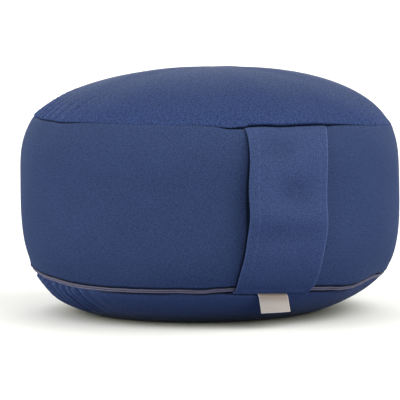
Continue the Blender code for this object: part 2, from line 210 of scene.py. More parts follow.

# Handle strap
HANDLE_WIDTH, HANDLE_THICK = 71.4 * MM, 2.6 * MM
HANDLE_CLEAR, HANDLE_BOW = 0.5 * MM, 8.2 * MM
HANDLE_CURL, HANDLE_CURL_REACH = 1.6 * MM, 12 * MM  # its long edges droop towards the band
HANDLE_TOP, HANDLE_BOTTOM = TOP_SEAM_HEIGHT - 2.4 * MM, LOW_SEAM_HEIGHT - ZIP_DROP + 0.2 * MM
HANDLE_TUCK, HANDLE_TUCK_ROUND = 5 * MM, 1.3 * MM  # each end turns into its seam
HANDLE_MIDDLE_ROUND = 300 * MM
HANDLE_BEND_HEIGHT, HANDLE_BEND, HANDLE_BEND_SPREAD = 97 * MM, 2.1 * MM, 13 * MM
HANDLE_SHADE, HANDLE_SHADE_IN, HANDLE_SHADE_DARK = 1.3 * MM, 2.5 * MM, 0.85  # painted shade on the band behind it: its ramp, how far inside the edges it starts, and how dark
HANDLE_THIN, HANDLE_THIN_REACH = 0.7, 9 * MM  # pressed flatter at the sewn ends
HANDLE_EVEN_END = 4 * MM  # no relief this near the sewn ends
ALLOWANCE = 8 * MM  # turned-in cloth inside each long edge
ALLOWANCE_RISE, ALLOWANCE_SLOPE = 0.35 * MM, 2.2 * MM
ALLOWANCE_DENT, ALLOWANCE_DENT_IN, ALLOWANCE_DENT_WIDTH = 0.25 * MM, 1.2 * MM, 1.6 * MM
STITCH_WEAR, STITCH_WIDTH, STITCH_PITCH = 0.14, 0.6 * MM, 1.1 * MM
# Paler long edges of the strap: wear on both, and a painted highlight on the right one
EDGE_WEAR, RIGHT_EDGE_HIGHLIGHT, EDGE_PALE_IN, EDGE_PALE_WIDTH = 0.06, 0.7, 0.5 * MM, 0.8 * MM
WANDER, WANDER_REACH = (Wave(0.35, 9, 1), Wave(0.2, 23, 0)), 6 * MM  # of its long edges, along its length
TUGS, TUG_REACHES = (Wave(0.3, 260, 0.8), Wave(0.3, 230, -0.4)), (0.06, 0.07)  # across it, at either end
SLACK, SLACK_ACROSS, SLACK_DOWN = 0.3 * MM, 85, 9  # how high, in radians a metre across and down its length
STRAP_BACK_MAP, STRAP_MAP_DOWN = 3, 0.7  # metres on the weave map, so that no two places look the same
SKEW, SKEW_WIDTH, SKEW_FOLD, SKEW_EVEN, SKEW_COUNT = 0.12, 8 * MM, 0.5 * MM, 0.6, 60  # a fold at the bend
HOLLOW_SHADE = 0.05  # painted shade in the strap's hollows, for each mm of a hollow's depth
Lean = namedtuple("Lean", "height aside wide")  # in mm, the last as a share of the width
HANDLE_LEAN = [Lean(*row) for row in (
    (173, 6.5, 1.07), (166, 5.1, 1.02), (160, 4.1, 1), (150, 2.6, 1), (130, -0.5, 1),
    (117, -1.7, 1), (104, -2.0, 1), (87, -1.9, 1), (70, -3.0, 1), (53, -4.5, 1),
    (45, -4.7, 0.995), (36, -4.8, 0.98), (29, -6.0, 0.95),
)]
LEAN_SMOOTHING = (-5, -2.5, 0, 2.5, 5)  # mm above and below, over which the lean is averaged
Hollow = namedtuple("Hollow", "aside height wide tall deep")  # soft hollows where the strap is slack, in mm
HANDLE_HOLLOWS = [Hollow(*row) for row in (
    (-9, 152, 15, 11, 2.6), (3, 117, 14, 12, 2.8), (-8, 82, 18, 9, 1.0),
    (24, 134, 9, 18, -0.9), (-22, 112, 9, 16, -0.8),
)]

# Label: a loop of ribbon, hanging from the low seam with a lean to the right
LABEL_WIDTH, LABEL_DROP = 26.2 * MM, 16.0 * MM
LABEL_PLY, LABEL_FOLD = 0.45 * MM, 0.55 * MM
LABEL_ASIDE, LABEL_LEAN = -7.4 * MM, 2.6 * MM
LABEL_TILT, LABEL_SKEW = 1.5 * MM, 1.7 * MM
LABEL_CLEAR = 0.4 * MM
LABEL_TUCK, LABEL_TUCK_DROP = 2.4 * MM, 2.0 * MM  # its top comes out from under the handle
LABEL_ROUNDING, LABEL_CURL, LABEL_CURL_TURN = 0.9, 0.5 * MM, 3.4  # the last in radians over its width
LABEL_WAVES = (Wave(0.35, 5, 0),)  # across it
LABEL_BORDER, LABEL_BORDER_EASE = 0.4 * MM, 0.5 * MM
LABEL_PALE, LABEL_PALE_FROM = 0.58, 0.6  # painted light: how much paler it gets towards the bottom, its top lying in the handle's shadow, over this share of its drop

# Camera, as found from the cushion's outline in the picture
EYE, TARGET = Vector((-0.9119, -2.2014, 0.2982)), Vector((-0.00807, 0.00334, 0.0980))
FOCAL_PIXELS, PICTURE_PIXELS, SENSOR = 2649.3, 400, 36
CAMERA_ROLL, CLIP_START, CLIP_END = -0.0097, 0.1, 200

# Stage: white paper with a painted shadow right under the cushion, and four soft lamps
FLOOR_SIZE, FLOOR_GAP = 120, 0.3 * MM
FLOOR_NEAR, FLOOR_CLEAR = 110 * MM, 158 * MM
NEAR_SEEN, CLEAR_SEEN = (0.52, 0.52, 0.445, 1), (0.815, 0.815, 0.77, 1)
NEAR_BOUNCED, CLEAR_BOUNCED = (0.03, 0.03, 0.04, 1), (0.28, 0.33, 0.48, 1)  # as it bounces light on the cushion: painted shade, dark right under it
ROOM_STRENGTH = 0.71
Lamp = namedtuple("Lamp", "name azimuth elevation strength spread")
LAMPS = [
    Lamp("front", 20, 24, 1.43, 50),
    Lamp("left", -95, 20, 2.75, 55),
    Lamp("right", 60, 36, 1.78, 45),
    Lamp("back", 158, 18, 2.4, 55),
]

# Cotton: how its yarn, flecks and clouds vary, per metre of cloth, and how much each shades it
WARP_YARN, WEFT_YARN = (1150, 240, 1), (260, 1250, 1)
FLECKS, MOTTLES, CLOUDS = 950.0, 430.0, 38.0
FLECK_SHARE, YARN_SHARE, CLOUD_SHARE, THREAD_SHARE, PAINTED_SHADE_SHARE = 1.5, 0.6, 0.14, 0.09, -0.87
PLAIN_SHADE, THREAD_POWER = 0.955, 0.35
COTTON_ROUGHNESS, GRAIN_ROUGHNESS = 0.84, -0.12
# Painted light and shade: the one cloth made darker on the top panel, and lighter on the bottom panel and the
# handle, for how light falls on them
TOP_PAINTED_LIGHT_TONE, BOTTOM_PAINTED_LIGHT_TONE, STRAP_PAINTED_LIGHT_TONE = (0.72, 0.80, 0.95), (1.17, 1.14, 1.16), (1.24, 1.21, 1.20)
PALE_TIMES, PALE_MORE = 1.5, Vector((0.02, 0.025, 0.035))

# Nylon and ribbon: their threads per metre each way, and how much these shade them
ZIP_YARN, ZIP_SHADE, ZIP_VARIES = (300, 2600, 1), 0.66, 0.3
ZIP_SLANT = 0.35  # of the teeth, along for each step down
RIBBON_RIBS, RIBBON_THREADS, RIBBON_SHADE, RIBBON_VARIES = (500, 4200, 1), (3800, 700, 1), 0.76, 0.24


# Settings that a user would change


class ZafuSizes(bpy.types.PropertyGroup):
    widest_radius: FloatProperty(
        name="Widest radius",
        description="Radius of the filled cushion where the side band is widest",
        default=170 * MM, min=0.12, max=0.25, unit="LENGTH",
    )
    columns: IntProperty(
        name="Columns",
        description="Columns of faces all round each panel",
        default=900, min=90, max=1000,
    )
    gather_strength: FloatProperty(
        name="Gather strength",
        description="How deep the gathers are, against the photographed cushion's",
        default=1.0, min=0, max=2, subtype="FACTOR",
    )
    thread_pitch: FloatProperty(
        name="Thread pitch",
        description="Distance from thread to thread in the cotton",
        default=0.62 * MM, min=0.0002, max=0.003, unit="LENGTH", precision=5,
    )
    tick_pitch: FloatProperty(
        name="Zip tick pitch",
        description="Distance between the zip's teeth",
        default=1.5 * MM, min=0.0005, max=0.005, unit="LENGTH", precision=5,
    )


def colour(name, description, default):
    return FloatVectorProperty(
        name=name, description=description, default=default, min=0, max=1, subtype="COLOR"
    )


class ZafuColours(bpy.types.PropertyGroup):
    cotton: colour("Cotton", "The blue cotton's colour", (0.0289, 0.0466, 0.1068))
    zip_tape: colour("Zip", "The zip's grey-mauve nylon", (0.094, 0.085, 0.135))
    ribbon: colour("Label ribbon", "The label's taupe ground", (0.185, 0.143, 0.106))
    ribbon_edge: colour("Label edge", "The label's lighter woven border", (0.49, 0.44, 0.375))


# Outlines of the even cushion, as radius and height


def crown(share, widest):
    """The top panel, from the axis (0) to the top seam (1)."""
    fall = (1 - share ** CROWN_POWERS[0]) ** CROWN_POWERS[1]
    return share * TOP_SEAM_RADIUS, TOP_SEAM_HEIGHT + (HEIGHT - TOP_SEAM_HEIGHT) * fall


def band(share, widest):
    """The side band, from the top seam (0) to the zip (1)."""
    height = TOP_SEAM_HEIGHT + (LOW_SEAM_HEIGHT - TOP_SEAM_HEIGHT) * share
    above = np.clip((height - WIDEST_HEIGHT) / (TOP_SEAM_HEIGHT - WIDEST_HEIGHT), 0, 1)
    below = np.clip((WIDEST_HEIGHT - height) / (WIDEST_HEIGHT - LOW_SEAM_HEIGHT), 0, 1)
    upper = widest - (widest - TOP_SEAM_RADIUS) * above**BAND_POWER_ABOVE
    lower = widest - (widest - LOW_SEAM_RADIUS) * below**BAND_POWER_BELOW
    return np.where(height > WIDEST_HEIGHT, upper, lower), height


def bowl(share, widest):
    """The bottom panel and the zip, from the band's lower edge (0) to the flat on the floor (1)."""
    tuck = (1 - share ** BOWL_POWERS[0]) ** BOWL_POWERS[1]
    return CONTACT_RADIUS + (LOW_SEAM_RADIUS - CONTACT_RADIUS) * tuck, LOW_SEAM_HEIGHT * (1 - share)


def side_radius(height, widest):
    """The cushion's radius at a height on the band, the zip or the bottom panel."""
    height = np.asarray(height, float)
    on_band = band((TOP_SEAM_HEIGHT - height) / (TOP_SEAM_HEIGHT - LOW_SEAM_HEIGHT), widest)[0]
    on_bowl = bowl(np.clip(1 - height / LOW_SEAM_HEIGHT, 0, 1), widest)[0]
    return np.where(height < LOW_SEAM_HEIGHT, on_bowl, on_band)


class Outline:
    """A curve of the outline, measured along its length. It gives a point and the way out there."""

    def __init__(self, curve, first, last, widest, count=4000):
        even = np.linspace(0, 1, count)
        if curve is crown:
            even = np.sin(np.linspace(0, pi / 2, count))
        share = first + (last - first) * even
        self.points = np.stack(curve(share, widest), 1)
        steps = np.linalg.norm(np.diff(self.points, axis=0), axis=1)
        self.lengths = np.concatenate([[0], np.cumsum(steps)])
        self.length = self.lengths[-1]
        along = np.gradient(self.points, self.lengths, axis=0)
        along /= np.linalg.norm(along, axis=1)[:, None]
        self.outward = np.stack([-along[:, 1], along[:, 0]], 1)

    def at(self, length):
        """Points (radius, height) and outward directions at lengths along the curve."""
        points = np.stack([np.interp(length, self.lengths, self.points[:, i]) for i in (0, 1)], -1)
        outward = np.stack([np.interp(length, self.lengths, self.outward[:, i]) for i in (0, 1)], -1)
        return points, outward


# Shapes of the uneven cushion


def ease(share):
    """From 0 to 1, level at both ends."""
    share = np.clip(share, 0, 1)
    return share * share * (3 - 2 * share)


def waves(table, along):
    """How far a table of waves moves the cloth, along an angle or a share of a length."""
    return sum(wave.size * MM * np.sin(wave.count * along + wave.phase) for wave in table)


def near(away, width):
    """From 1 where away is 0 down to 0 on either side of it."""
    return np.exp(-((away / width) ** 2))


def fading(away, reach):
    """From 1 where away is 0, dying out with distance."""
    return np.exp(-away / reach)


def around(table, azimuth, column):
    """A table's column read all round the cushion, eased from row to row and from the last to the first."""
    degrees = np.array([row.azimuth for row in table] + [table[0].azimuth + 360], float)
    values = np.array([getattr(row, column) for row in table] + [getattr(table[0], column)], float)
    turned = (np.degrees(azimuth) - degrees[0]) % 360 + degrees[0]
    row = np.clip(np.searchsorted(degrees, turned, side="right") - 1, 0, len(table) - 1)
    share = (turned - degrees[row]) / (degrees[row + 1] - degrees[row])
    return values[row] + (values[row + 1] - values[row]) * ease(share)


def lift(table, azimuth, away):
    """How far a seam's unevenness raises the cloth at a distance from the seam."""
    return around(table, azimuth, "lift") * MM / (1 + (away / LIFT_REACH) ** 2)


def corner(azimuth, away):
    """How far the whole top seam stands out, and the cloth beside it."""
    return around(TOP_SEAM, azimuth, "out") * MM * fading(away, CORNER_REACH)


def slot(azimuth, away):
    """How far the gaping top seam holds the cloth on either side away from it."""
    return around(TOP_SEAM, azimuth, "slot") * MM / 2 * fading(away, SLOT_REACH)


def flare(azimuth, away):
    """How far the band's lower edge stands out, at distances from it."""
    return around(LOW_SEAM, azimuth, "flare") * MM * fading(away, FLARE_REACH)


def swelled(swells, azimuth):
    """How far the filling presses the cloth out at azimuths."""
    out = np.zeros_like(azimuth)
    for swell in swells:
        off = np.degrees((azimuth - radians(swell.azimuth) + pi) % tau - pi)
        out += swell.out * MM * near(off, swell.spread)
    return out


def crowded(azimuth):
    """Moves evenly spaced azimuths closer together where there are gathers."""
    degrees = np.linspace(-180, 180, CROWD_SAMPLES)
    weight = np.ones_like(degrees)
    for stretch in CROWDED:
        middle, half = (stretch.first + stretch.last) / 2, (stretch.last - stretch.first) / 2
        past = np.abs((degrees - middle + 180) % 360 - 180) - half
        weight += (stretch.times - 1) * (1 - ease(0.5 + past / CROWD_EASE))
    share = np.cumsum(weight) - weight[0]
    return np.radians(np.interp(azimuth / tau + 0.5, share / share[-1], degrees))


def back_gathers(run, side):
    """Gathers for the side that the picture doesn't show, spaced and sized unevenly."""
    chance = np.random.default_rng(SEEDS[side])
    made, azimuth = [], run.first
    while azimuth < run.last:
        size = chance.uniform(*BACK_SIZES)
        swing = chance.uniform(*BACK_SWINGS)
        reach = run.reach * chance.uniform(*BACK_REACHES)
        made.append(Gather(azimuth, swing, reach, run.rise * size, run.sink * size, run.step / 2, run.broad))
        azimuth += run.step * chance.uniform(*BACK_STEPS)
    return made


def gathered(gathers, azimuth, away, seam_radius):
    """How far gathers raise the cloth, at azimuths and distances from their seam."""
    raised = np.zeros_like(azimuth)
    for gather in gathers:
        reach = gather.reach * MM
        within = (away > 0) & (away < reach)
        share = away[within] / reach
        middle = radians(gather.azimuth) + radians(gather.swing) * share
        aside = ((azimuth[within] - middle + pi) % tau - pi) * seam_radius
        beside = radians(gather.beside) * seam_radius
        fade = ease(away[within] / GATHER_START) * (1 - share) ** GATHER_FADE * ease(GATHER_END * (1 - share))
        broad = gather.broad * (GATHER_BROAD + GATHER_BROADENS * share)
        ridge = gather.rise * near(aside, RIDGE_WIDTH * broad)
        trough = gather.sink * near(aside - beside, TROUGH_WIDTH * broad)
        raised[within] += (ridge - trough) * MM * fade
    return raised


def puckered(azimuth, away, seam, size=PUCKER_SIZE):
    """Small ripples that stitches pull into the cloth beside a seam."""
    chance = np.random.default_rng(SEEDS[seam])
    wave = sum(
        np.cos(count * azimuth + chance.uniform(0, tau)) * chance.uniform(0.4, 1) for count in PUCKER_WAVES
    )
    return size * wave / 2 * fading(away, PUCKER_REACH) * ease(away / PUCKER_START)


def lumpy(azimuth, height):
    """Slow swells where the loose filling presses on the cloth."""
    up = height / HEIGHT * tau
    return LUMP_SIZE * sum(
        lump.size * np.sin(lump.round * azimuth + lump.up * up + lump.phase) for lump in LUMPS
    )


def settle(points):
    """Moves points of the even, upright cushion to where the uneven filling holds them."""
    heights = (0, LOW_SEAM_HEIGHT, TOP_SEAM_HEIGHT, HEIGHT)
    aside = np.interp(points[:, 2], heights, (BOWL_LEAN, 0, 0, CROWN_LEAN))
    dip = np.interp(points[:, 2], heights, (0, LOW_SEAM_DIP, TOP_SEAM_DIP, 0))
    azimuth = np.arctan2(points[:, 0], -points[:, 1])
    moved = points.copy()
    moved[:, 0] += aside * sin(LEAN_AZIMUTH)
    moved[:, 1] -= aside * cos(LEAN_AZIMUTH)
    moved[:, 2] -= dip * np.cos(azimuth - LEAN_AZIMUTH) * (np.hypot(points[:, 0], points[:, 1]) > ON_AXIS)
    return moved


# Making meshes


def lengths_from_seam(length, fine=0.3 * MM, coarse=6.5 * MM, growth=1.16):
    """Distances for rows of points, close together at a seam and wider away from it."""
    rows = [0.0]
    step = fine
    while rows[-1] + 1.5 * step < length:
        rows.append(rows[-1] + step)
        step = min(step * growth, coarse)
    return np.array(rows + [length])


def lengths_between_seams(length):
    """Distances for rows between two seams, close together at both."""
    half = lengths_from_seam(length / 2, coarse=3.5 * MM)
    return np.concatenate([half, length - half[-2::-1]])


def made_mesh(name, bm):
    mesh = bpy.data.meshes.new(name)
    bm.to_mesh(mesh)
    bm.free()
    return mesh


def spun(name, points, columns, closed=False):
    """Spins a profile of (radius, height) points about Z. The mesh's points know their row and azimuth."""
    bm = bmesh.new()
    layer = bm.verts.layers.int.new("row")
    line = []
    for row, (radius, height) in enumerate(points):
        vertex = bm.verts.new((0, -radius, height))
        vertex[layer] = row
        line.append(vertex)
    ends = zip(line, line[1:] + line[:1]) if closed else zip(line, line[1:])
    edges = [bm.edges.new(pair) for pair in ends]
    bmesh.ops.spin(
        bm, geom=line + edges, cent=(0, 0, 0), axis=(0, 0, 1), dvec=(0, 0, 0),
        angle=tau, steps=columns, use_merge=True, use_normal_flip=False, use_duplicate=False,
    )
    bmesh.ops.remove_doubles(bm, verts=bm.verts[:], dist=MERGED)
    bmesh.ops.recalc_face_normals(bm, faces=bm.faces[:])
    return made_mesh(name, bm)


def read_spun(mesh):
    """Rows, azimuths, radii and heights of a spun mesh's points, its columns crowded where they're needed."""
    spots = np.empty(len(mesh.vertices) * 3, np.float32)
    mesh.vertices.foreach_get("co", spots)
    spots = spots.reshape(-1, 3).astype(float)
    rows = np.empty(len(mesh.vertices), np.int32)
    mesh.attributes["row"].data.foreach_get("value", rows)
    azimuth = crowded(np.arctan2(spots[:, 0], -spots[:, 1]))
    return rows, azimuth, np.hypot(spots[:, 0], spots[:, 1]), spots[:, 2]


def write_settled(mesh, azimuth, radius, height):
    """Puts points where the uneven filling holds them, none below the floor, and turns faces outward."""
    spots = settle(np.stack([radius * np.sin(azimuth), -radius * np.cos(azimuth), height], 1))
    spots[:, 2] = np.maximum(spots[:, 2], 0)
    mesh.vertices.foreach_set("co", spots.astype(np.float32).ravel())
    mesh.update()
    bm = bmesh.new()
    bm.from_mesh(mesh)
    bmesh.ops.recalc_face_normals(bm, faces=bm.faces[:])
    bm.to_mesh(mesh)
    bm.free()


def write_weave_map(mesh, across, down, turn_length=None):
    """Lays the weave's UV map, in metres. Where the cloth closes on itself after turn_length, the faces
    that cross the join count on instead of back."""
    corners = np.empty(len(mesh.loops), np.int32)
    mesh.loops.foreach_get("vertex_index", corners)
    u, v = across[corners], down[corners]
    if turn_length:
        starts = np.empty(len(mesh.polygons), np.int32)
        totals = np.empty(len(mesh.polygons), np.int32)
        mesh.polygons.foreach_get("loop_start", starts)
        mesh.polygons.foreach_get("loop_total", totals)
        first = np.repeat(u[starts], totals)
        u = first + (u - first + turn_length / 2) % turn_length - turn_length / 2
    weave = mesh.uv_layers.new(name="weave")
    weave.data.foreach_set("uv", np.stack([u, v], 1).astype(np.float32).ravel())


def write_round_weave(mesh, azimuth, flat_radius):
    write_weave_map(mesh, flat_radius * np.sin(azimuth), flat_radius * np.cos(azimuth))


def write_shares(mesh, name, shares):
    """Keeps a share from 0 to 1 at each point. wear_and_painted_light: how pale the cloth is, from wear and
    from painted light and highlights. painted_shade: how dark it is painted where shade falls."""
    attribute = mesh.attributes.new(name, "FLOAT", "POINT")
    attribute.data.foreach_set("value", np.clip(shares, 0, 1).astype(np.float32))


def finished(name, mesh, material, slot, *stands_for):
    """Adds the piece, which rides on the cushion and stands for its CAD nodes."""
    mesh.name = name
    mesh.shade_smooth()
    mesh.materials.clear()
    mesh.materials.append(material)
    piece = bpy.data.objects.new(name, mesh)
    bpy.context.scene.collection.objects.link(piece)
    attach(piece, "root")
    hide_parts(*stands_for)
    return piece


def round_sheet(piece):
    """Gives a round panel its thickness, inwards."""
    cloth = piece.modifiers.new("cloth", "SOLIDIFY")
    cloth.thickness = CLOTH
    cloth.offset = -1


# Materials


class Wiring:
    """Adds nodes to a tree and joins them, in few words."""

    def __init__(self, tree):
        self.tree = tree

    def node(self, kind, inputs=(), **settings):
        made = self.tree.nodes.new(kind)
        for name, value in settings.items():
            setattr(made, name, value)
        self.dress(made, inputs)
        return made

    def dress(self, node, inputs):
        """Feeds several of a node's inputs."""
        for socket, value in dict(inputs).items():
            self.feed(value, node.inputs[socket])

    def feed(self, value, socket):
        if isinstance(value, bpy.types.NodeSocket):
            self.tree.links.new(value, socket)
        else:
            socket.default_value = value

    def math(self, operation, *values):
        return self.node("ShaderNodeMath", enumerate(values), operation=operation).outputs[0]

    def noise(self, vector, scale, detail=2.0, roughness=0.5):
        inputs = {"Vector": vector, "Scale": scale, "Detail": detail, "Roughness": roughness}
        return self.node("ShaderNodeTexNoise", inputs, noise_dimensions="2D").outputs["Fac"]

    def stretched(self, vector, scales):
        return self.node("ShaderNodeMapping", {"Vector": vector, "Scale": scales}).outputs[0]

    def scaled(self, colour, factor):
        inputs = {0: colour, "Scale": factor}
        return self.node("ShaderNodeVectorMath", inputs, operation="SCALE").outputs[0]

    def mixed(self, factor, first, second):
        inputs = {"Factor": factor, "A": first, "B": second}
        return self.node("ShaderNodeMix", inputs, data_type="RGBA").outputs["Result"]

    def bump(self, height, distance, strength):
        inputs = {"Height": height, "Distance": distance, "Strength": strength}
        return self.node("ShaderNodeBump", inputs).outputs[0]

    def weave_map(self):
        return self.node("ShaderNodeUVMap", uv_map="weave").outputs[0]

    def share(self, name):
        return self.node("ShaderNodeAttribute", attribute_name=name).outputs["Fac"]


def add_group(name, inputs, outputs):
    """A shader node group with named sockets. Returns it with its wiring, inputs and output node."""
    group = bpy.data.node_groups.new(name, "ShaderNodeTree")
    for label, kind, default in inputs:
        socket = group.interface.new_socket(label, in_out="INPUT", socket_type=kind)
        socket.default_value = default
    for label, kind in outputs:
        group.interface.new_socket(label, in_out="OUTPUT", socket_type=kind)
    wiring = Wiring(group)
    return group, wiring, wiring.node("NodeGroupInput").outputs, wiring.node("NodeGroupOutput")


def plain_weave_group():
    """Plain-woven cotton: threads over and under, thick and thin yarn, slow clouds in the dye, paler by wear
    and painted light, darker by painted shade.
    """
    if "plain_weave" in bpy.data.node_groups:
        return bpy.data.node_groups["plain_weave"]
    group, wire, given, out = add_group(
        "plain_weave",
        [
            ("Cloth", "NodeSocketVector", (0, 0, 0)),
            ("Colour", "NodeSocketColor", (0.05, 0.07, 0.16, 1)),
            ("Pale", "NodeSocketColor", (0.12, 0.15, 0.27, 1)),
            ("Threads per metre", "NodeSocketFloat", 1600.0),
            ("Heather", "NodeSocketFloat", 0.5),
            ("Mottle", "NodeSocketFloat", 0.1),
            ("Wear and painted light", "NodeSocketFloat", 0.0),
            ("Painted shade", "NodeSocketFloat", 0.0),
        ],
        [("Colour", "NodeSocketColor"), ("Roughness", "NodeSocketFloat"), ("Height", "NodeSocketFloat")],
    )
    cloth = given["Cloth"]
    part = wire.node("ShaderNodeSeparateXYZ", {0: wire.scaled(cloth, given["Threads per metre"])})
    warp = wire.math("SINE", wire.math("MULTIPLY", part.outputs["X"], pi))
    weft = wire.math("SINE", wire.math("MULTIPLY", part.outputs["Y"], pi))
    warp_on_top = wire.math("GREATER_THAN", wire.math("MULTIPLY", warp, weft), 0.0)
    warp_round, weft_round = wire.math("ABSOLUTE", warp), wire.math("ABSOLUTE", weft)
    warp_over = wire.math("MULTIPLY", warp_round, wire.math("POWER", weft_round, THREAD_POWER))
    weft_over = wire.math("MULTIPLY", weft_round, wire.math("POWER", warp_round, THREAD_POWER))
    over = wire.math(
        "ADD",
        wire.math("MULTIPLY", warp_over, warp_on_top),
        wire.math("MULTIPLY", weft_over, wire.math("SUBTRACT", 1.0, warp_on_top)),
    )
    warp_yarn = wire.noise(wire.stretched(cloth, WARP_YARN), 1.0)
    weft_yarn = wire.noise(wire.stretched(cloth, WEFT_YARN), 1.0)
    yarn = wire.math("SUBTRACT", wire.math("ADD", warp_yarn, weft_yarn), 1.0)
    fleck = wire.math("SUBTRACT", wire.noise(cloth, FLECKS, 1.0), 0.5)
    mottle = wire.math("SUBTRACT", wire.noise(cloth, MOTTLES, 2.0), 0.5)
    cloud = wire.math("SUBTRACT", wire.noise(cloth, CLOUDS, 3.0, 0.6), 0.5)
    grain = wire.math("MULTIPLY_ADD", fleck, FLECK_SHARE, wire.math("MULTIPLY", yarn, YARN_SHARE))
    shade = PLAIN_SHADE
    for varying, weight in (
        (grain, given["Heather"]),
        (mottle, given["Mottle"]),
        (cloud, CLOUD_SHARE),
        (over, THREAD_SHARE),
    ):
        shade = wire.math("MULTIPLY_ADD", varying, weight, shade)
    # painted shade darkens the colour
    shade = wire.math("MULTIPLY", shade, wire.math("MULTIPLY_ADD", given["Painted shade"], PAINTED_SHADE_SHARE, 1.0))
    dyed, pale = wire.scaled(given["Colour"], shade), wire.scaled(given["Pale"], shade)
    wire.dress(
        out,
        {
            "Colour": wire.mixed(given["Wear and painted light"], dyed, pale),
            "Roughness": wire.math("MULTIPLY_ADD", grain, GRAIN_ROUGHNESS, COTTON_ROUGHNESS),
            "Height": wire.math("MULTIPLY_ADD", yarn, YARN_SHARE, over),
        },
    )
    return group


def plain_material(name):
    made = bpy.data.materials.new(name)
    made.use_nodes = True
    return made, Wiring(made.node_tree), made.node_tree.nodes["Principled BSDF"]


def cotton_material(name, painted_light_tone=(1, 1, 1), heather=0.7, mottle=0.1, sheen=0.125):
    """The blue cotton, with a tone for each piece that is painted light and shade: the same cloth made
    lighter or darker for how light falls on it.
    """
    sizes, colours = bpy.context.scene.zafu_sizes, bpy.context.scene.zafu_colours
    made, wire, shader = plain_material(name)
    dye = Vector(colours.cotton) * Vector(painted_light_tone)
    inputs = {
        "Cloth": wire.weave_map(),
        "Wear and painted light": wire.share("wear_and_painted_light"),
        "Painted shade": wire.share("painted_shade"),
        "Colour": (*dye, 1),
        "Pale": (*(dye * PALE_TIMES + PALE_MORE), 1),
        "Threads per metre": 1 / sizes.thread_pitch,
        "Heather": heather,
        "Mottle": mottle,
    }
    weave = wire.node("ShaderNodeGroup", node_tree=plain_weave_group())
    wire.dress(weave, inputs)
    wire.dress(
        shader,
        {
            "Base Color": weave.outputs["Colour"],
            "Roughness": weave.outputs["Roughness"],
            "Normal": wire.bump(weave.outputs["Height"], 0.12 * MM, 0.8),
            "Specular IOR Level": 0.06,
            "Sheen Weight": sheen,
            "Sheen Roughness": 0.16,
            "Sheen Tint": (0.72, 0.83, 1, 1),
        },
    )
    return made


def zip_material():
    """Nylon zip: a woven edge with a slight sheen, ticked across by the teeth behind it."""
    sizes, colours = bpy.context.scene.zafu_sizes, bpy.context.scene.zafu_colours
    made, wire, shader = plain_material("zip_nylon")
    cloth = wire.weave_map()
    part = wire.node("ShaderNodeSeparateXYZ", {0: cloth})
    slant = wire.math("MULTIPLY_ADD", part.outputs["Y"], ZIP_SLANT, part.outputs["X"])
    turn = wire.math("MULTIPLY", slant, tau / sizes.tick_pitch)
    tick = wire.math("MULTIPLY_ADD", wire.math("SINE", turn), 0.5, 0.5)
    yarn = wire.noise(wire.stretched(cloth, ZIP_YARN), 1.0)
    shade = wire.math("MULTIPLY_ADD", tick, ZIP_VARIES, ZIP_SHADE)
    shade = wire.math("MULTIPLY_ADD", yarn, ZIP_VARIES, shade)
    wire.dress(
        shader,
        {
            "Base Color": wire.scaled(tuple(colours.zip_tape), shade),
            "Roughness": wire.math("MULTIPLY_ADD", yarn, 0.2, 0.42),
            "Normal": wire.bump(tick, 0.15 * MM, 0.9),
            "Sheen Weight": 0.15,
        },
    )
    return made


def ribbon_material():
    """Woven ribbon: a fine satin ground with a paler border along its selvedges and its fold, and painted
    light that pales it towards the bottom.
    """
    colours = bpy.context.scene.zafu_colours
    made, wire, shader = plain_material("label_ribbon_satin")
    cloth = wire.weave_map()
    rib = wire.noise(wire.stretched(cloth, RIBBON_RIBS), 1.0)
    cross = wire.noise(wire.stretched(cloth, RIBBON_THREADS), 1.0)
    shade = wire.math("MULTIPLY_ADD", wire.math("ADD", rib, cross), RIBBON_VARIES, RIBBON_SHADE)
    ground = wire.mixed(wire.share("wear_and_painted_light"), (*colours.ribbon, 1), (*colours.ribbon_edge, 1))
    wire.dress(
        shader,
        {
            "Base Color": wire.scaled(ground, shade),
            "Roughness": wire.math("MULTIPLY_ADD", rib, 0.25, 0.5),
            "Normal": wire.bump(rib, 0.06 * MM, 0.8),
            "Sheen Weight": 0.1,
        },
    )
    return made


# The pieces


def top_groove(azimuth, away):
    """How deep the top seam's groove draws the cloth in, at distances from the seam."""
    return around(TOP_SEAM, azimuth, "depth") * MM * fading(away, TOP_GROOVE_WIDTH)


def top_groove_painted_shade(azimuth, away):
    """Painted shade in the top seam's groove, the deeper the groove the darker."""
    deep = np.clip(around(TOP_SEAM, azimuth, "depth") / TOP_GROOVE_SHADE_DEPTH, 0, 1)
    return TOP_GROOVE_PAINTED_SHADE * deep * near(away, TOP_GROOVE_WIDTH)


def wear_and_painted_light(paling, away):
    """How pale the cloth is at distances from a seam, from wear at its edge and from painted light over the
    top panel's shoulder.
    """
    return paling.share * fading(away, paling.reach)


def folded_edge(away):
    """How far a folded edge rounds back from the outline, at distances from the edge."""
    short = np.clip(FOLD_ROUND - away, 0, FOLD_ROUND)
    return FOLD_ROUND - np.sqrt(FOLD_ROUND**2 - short**2)


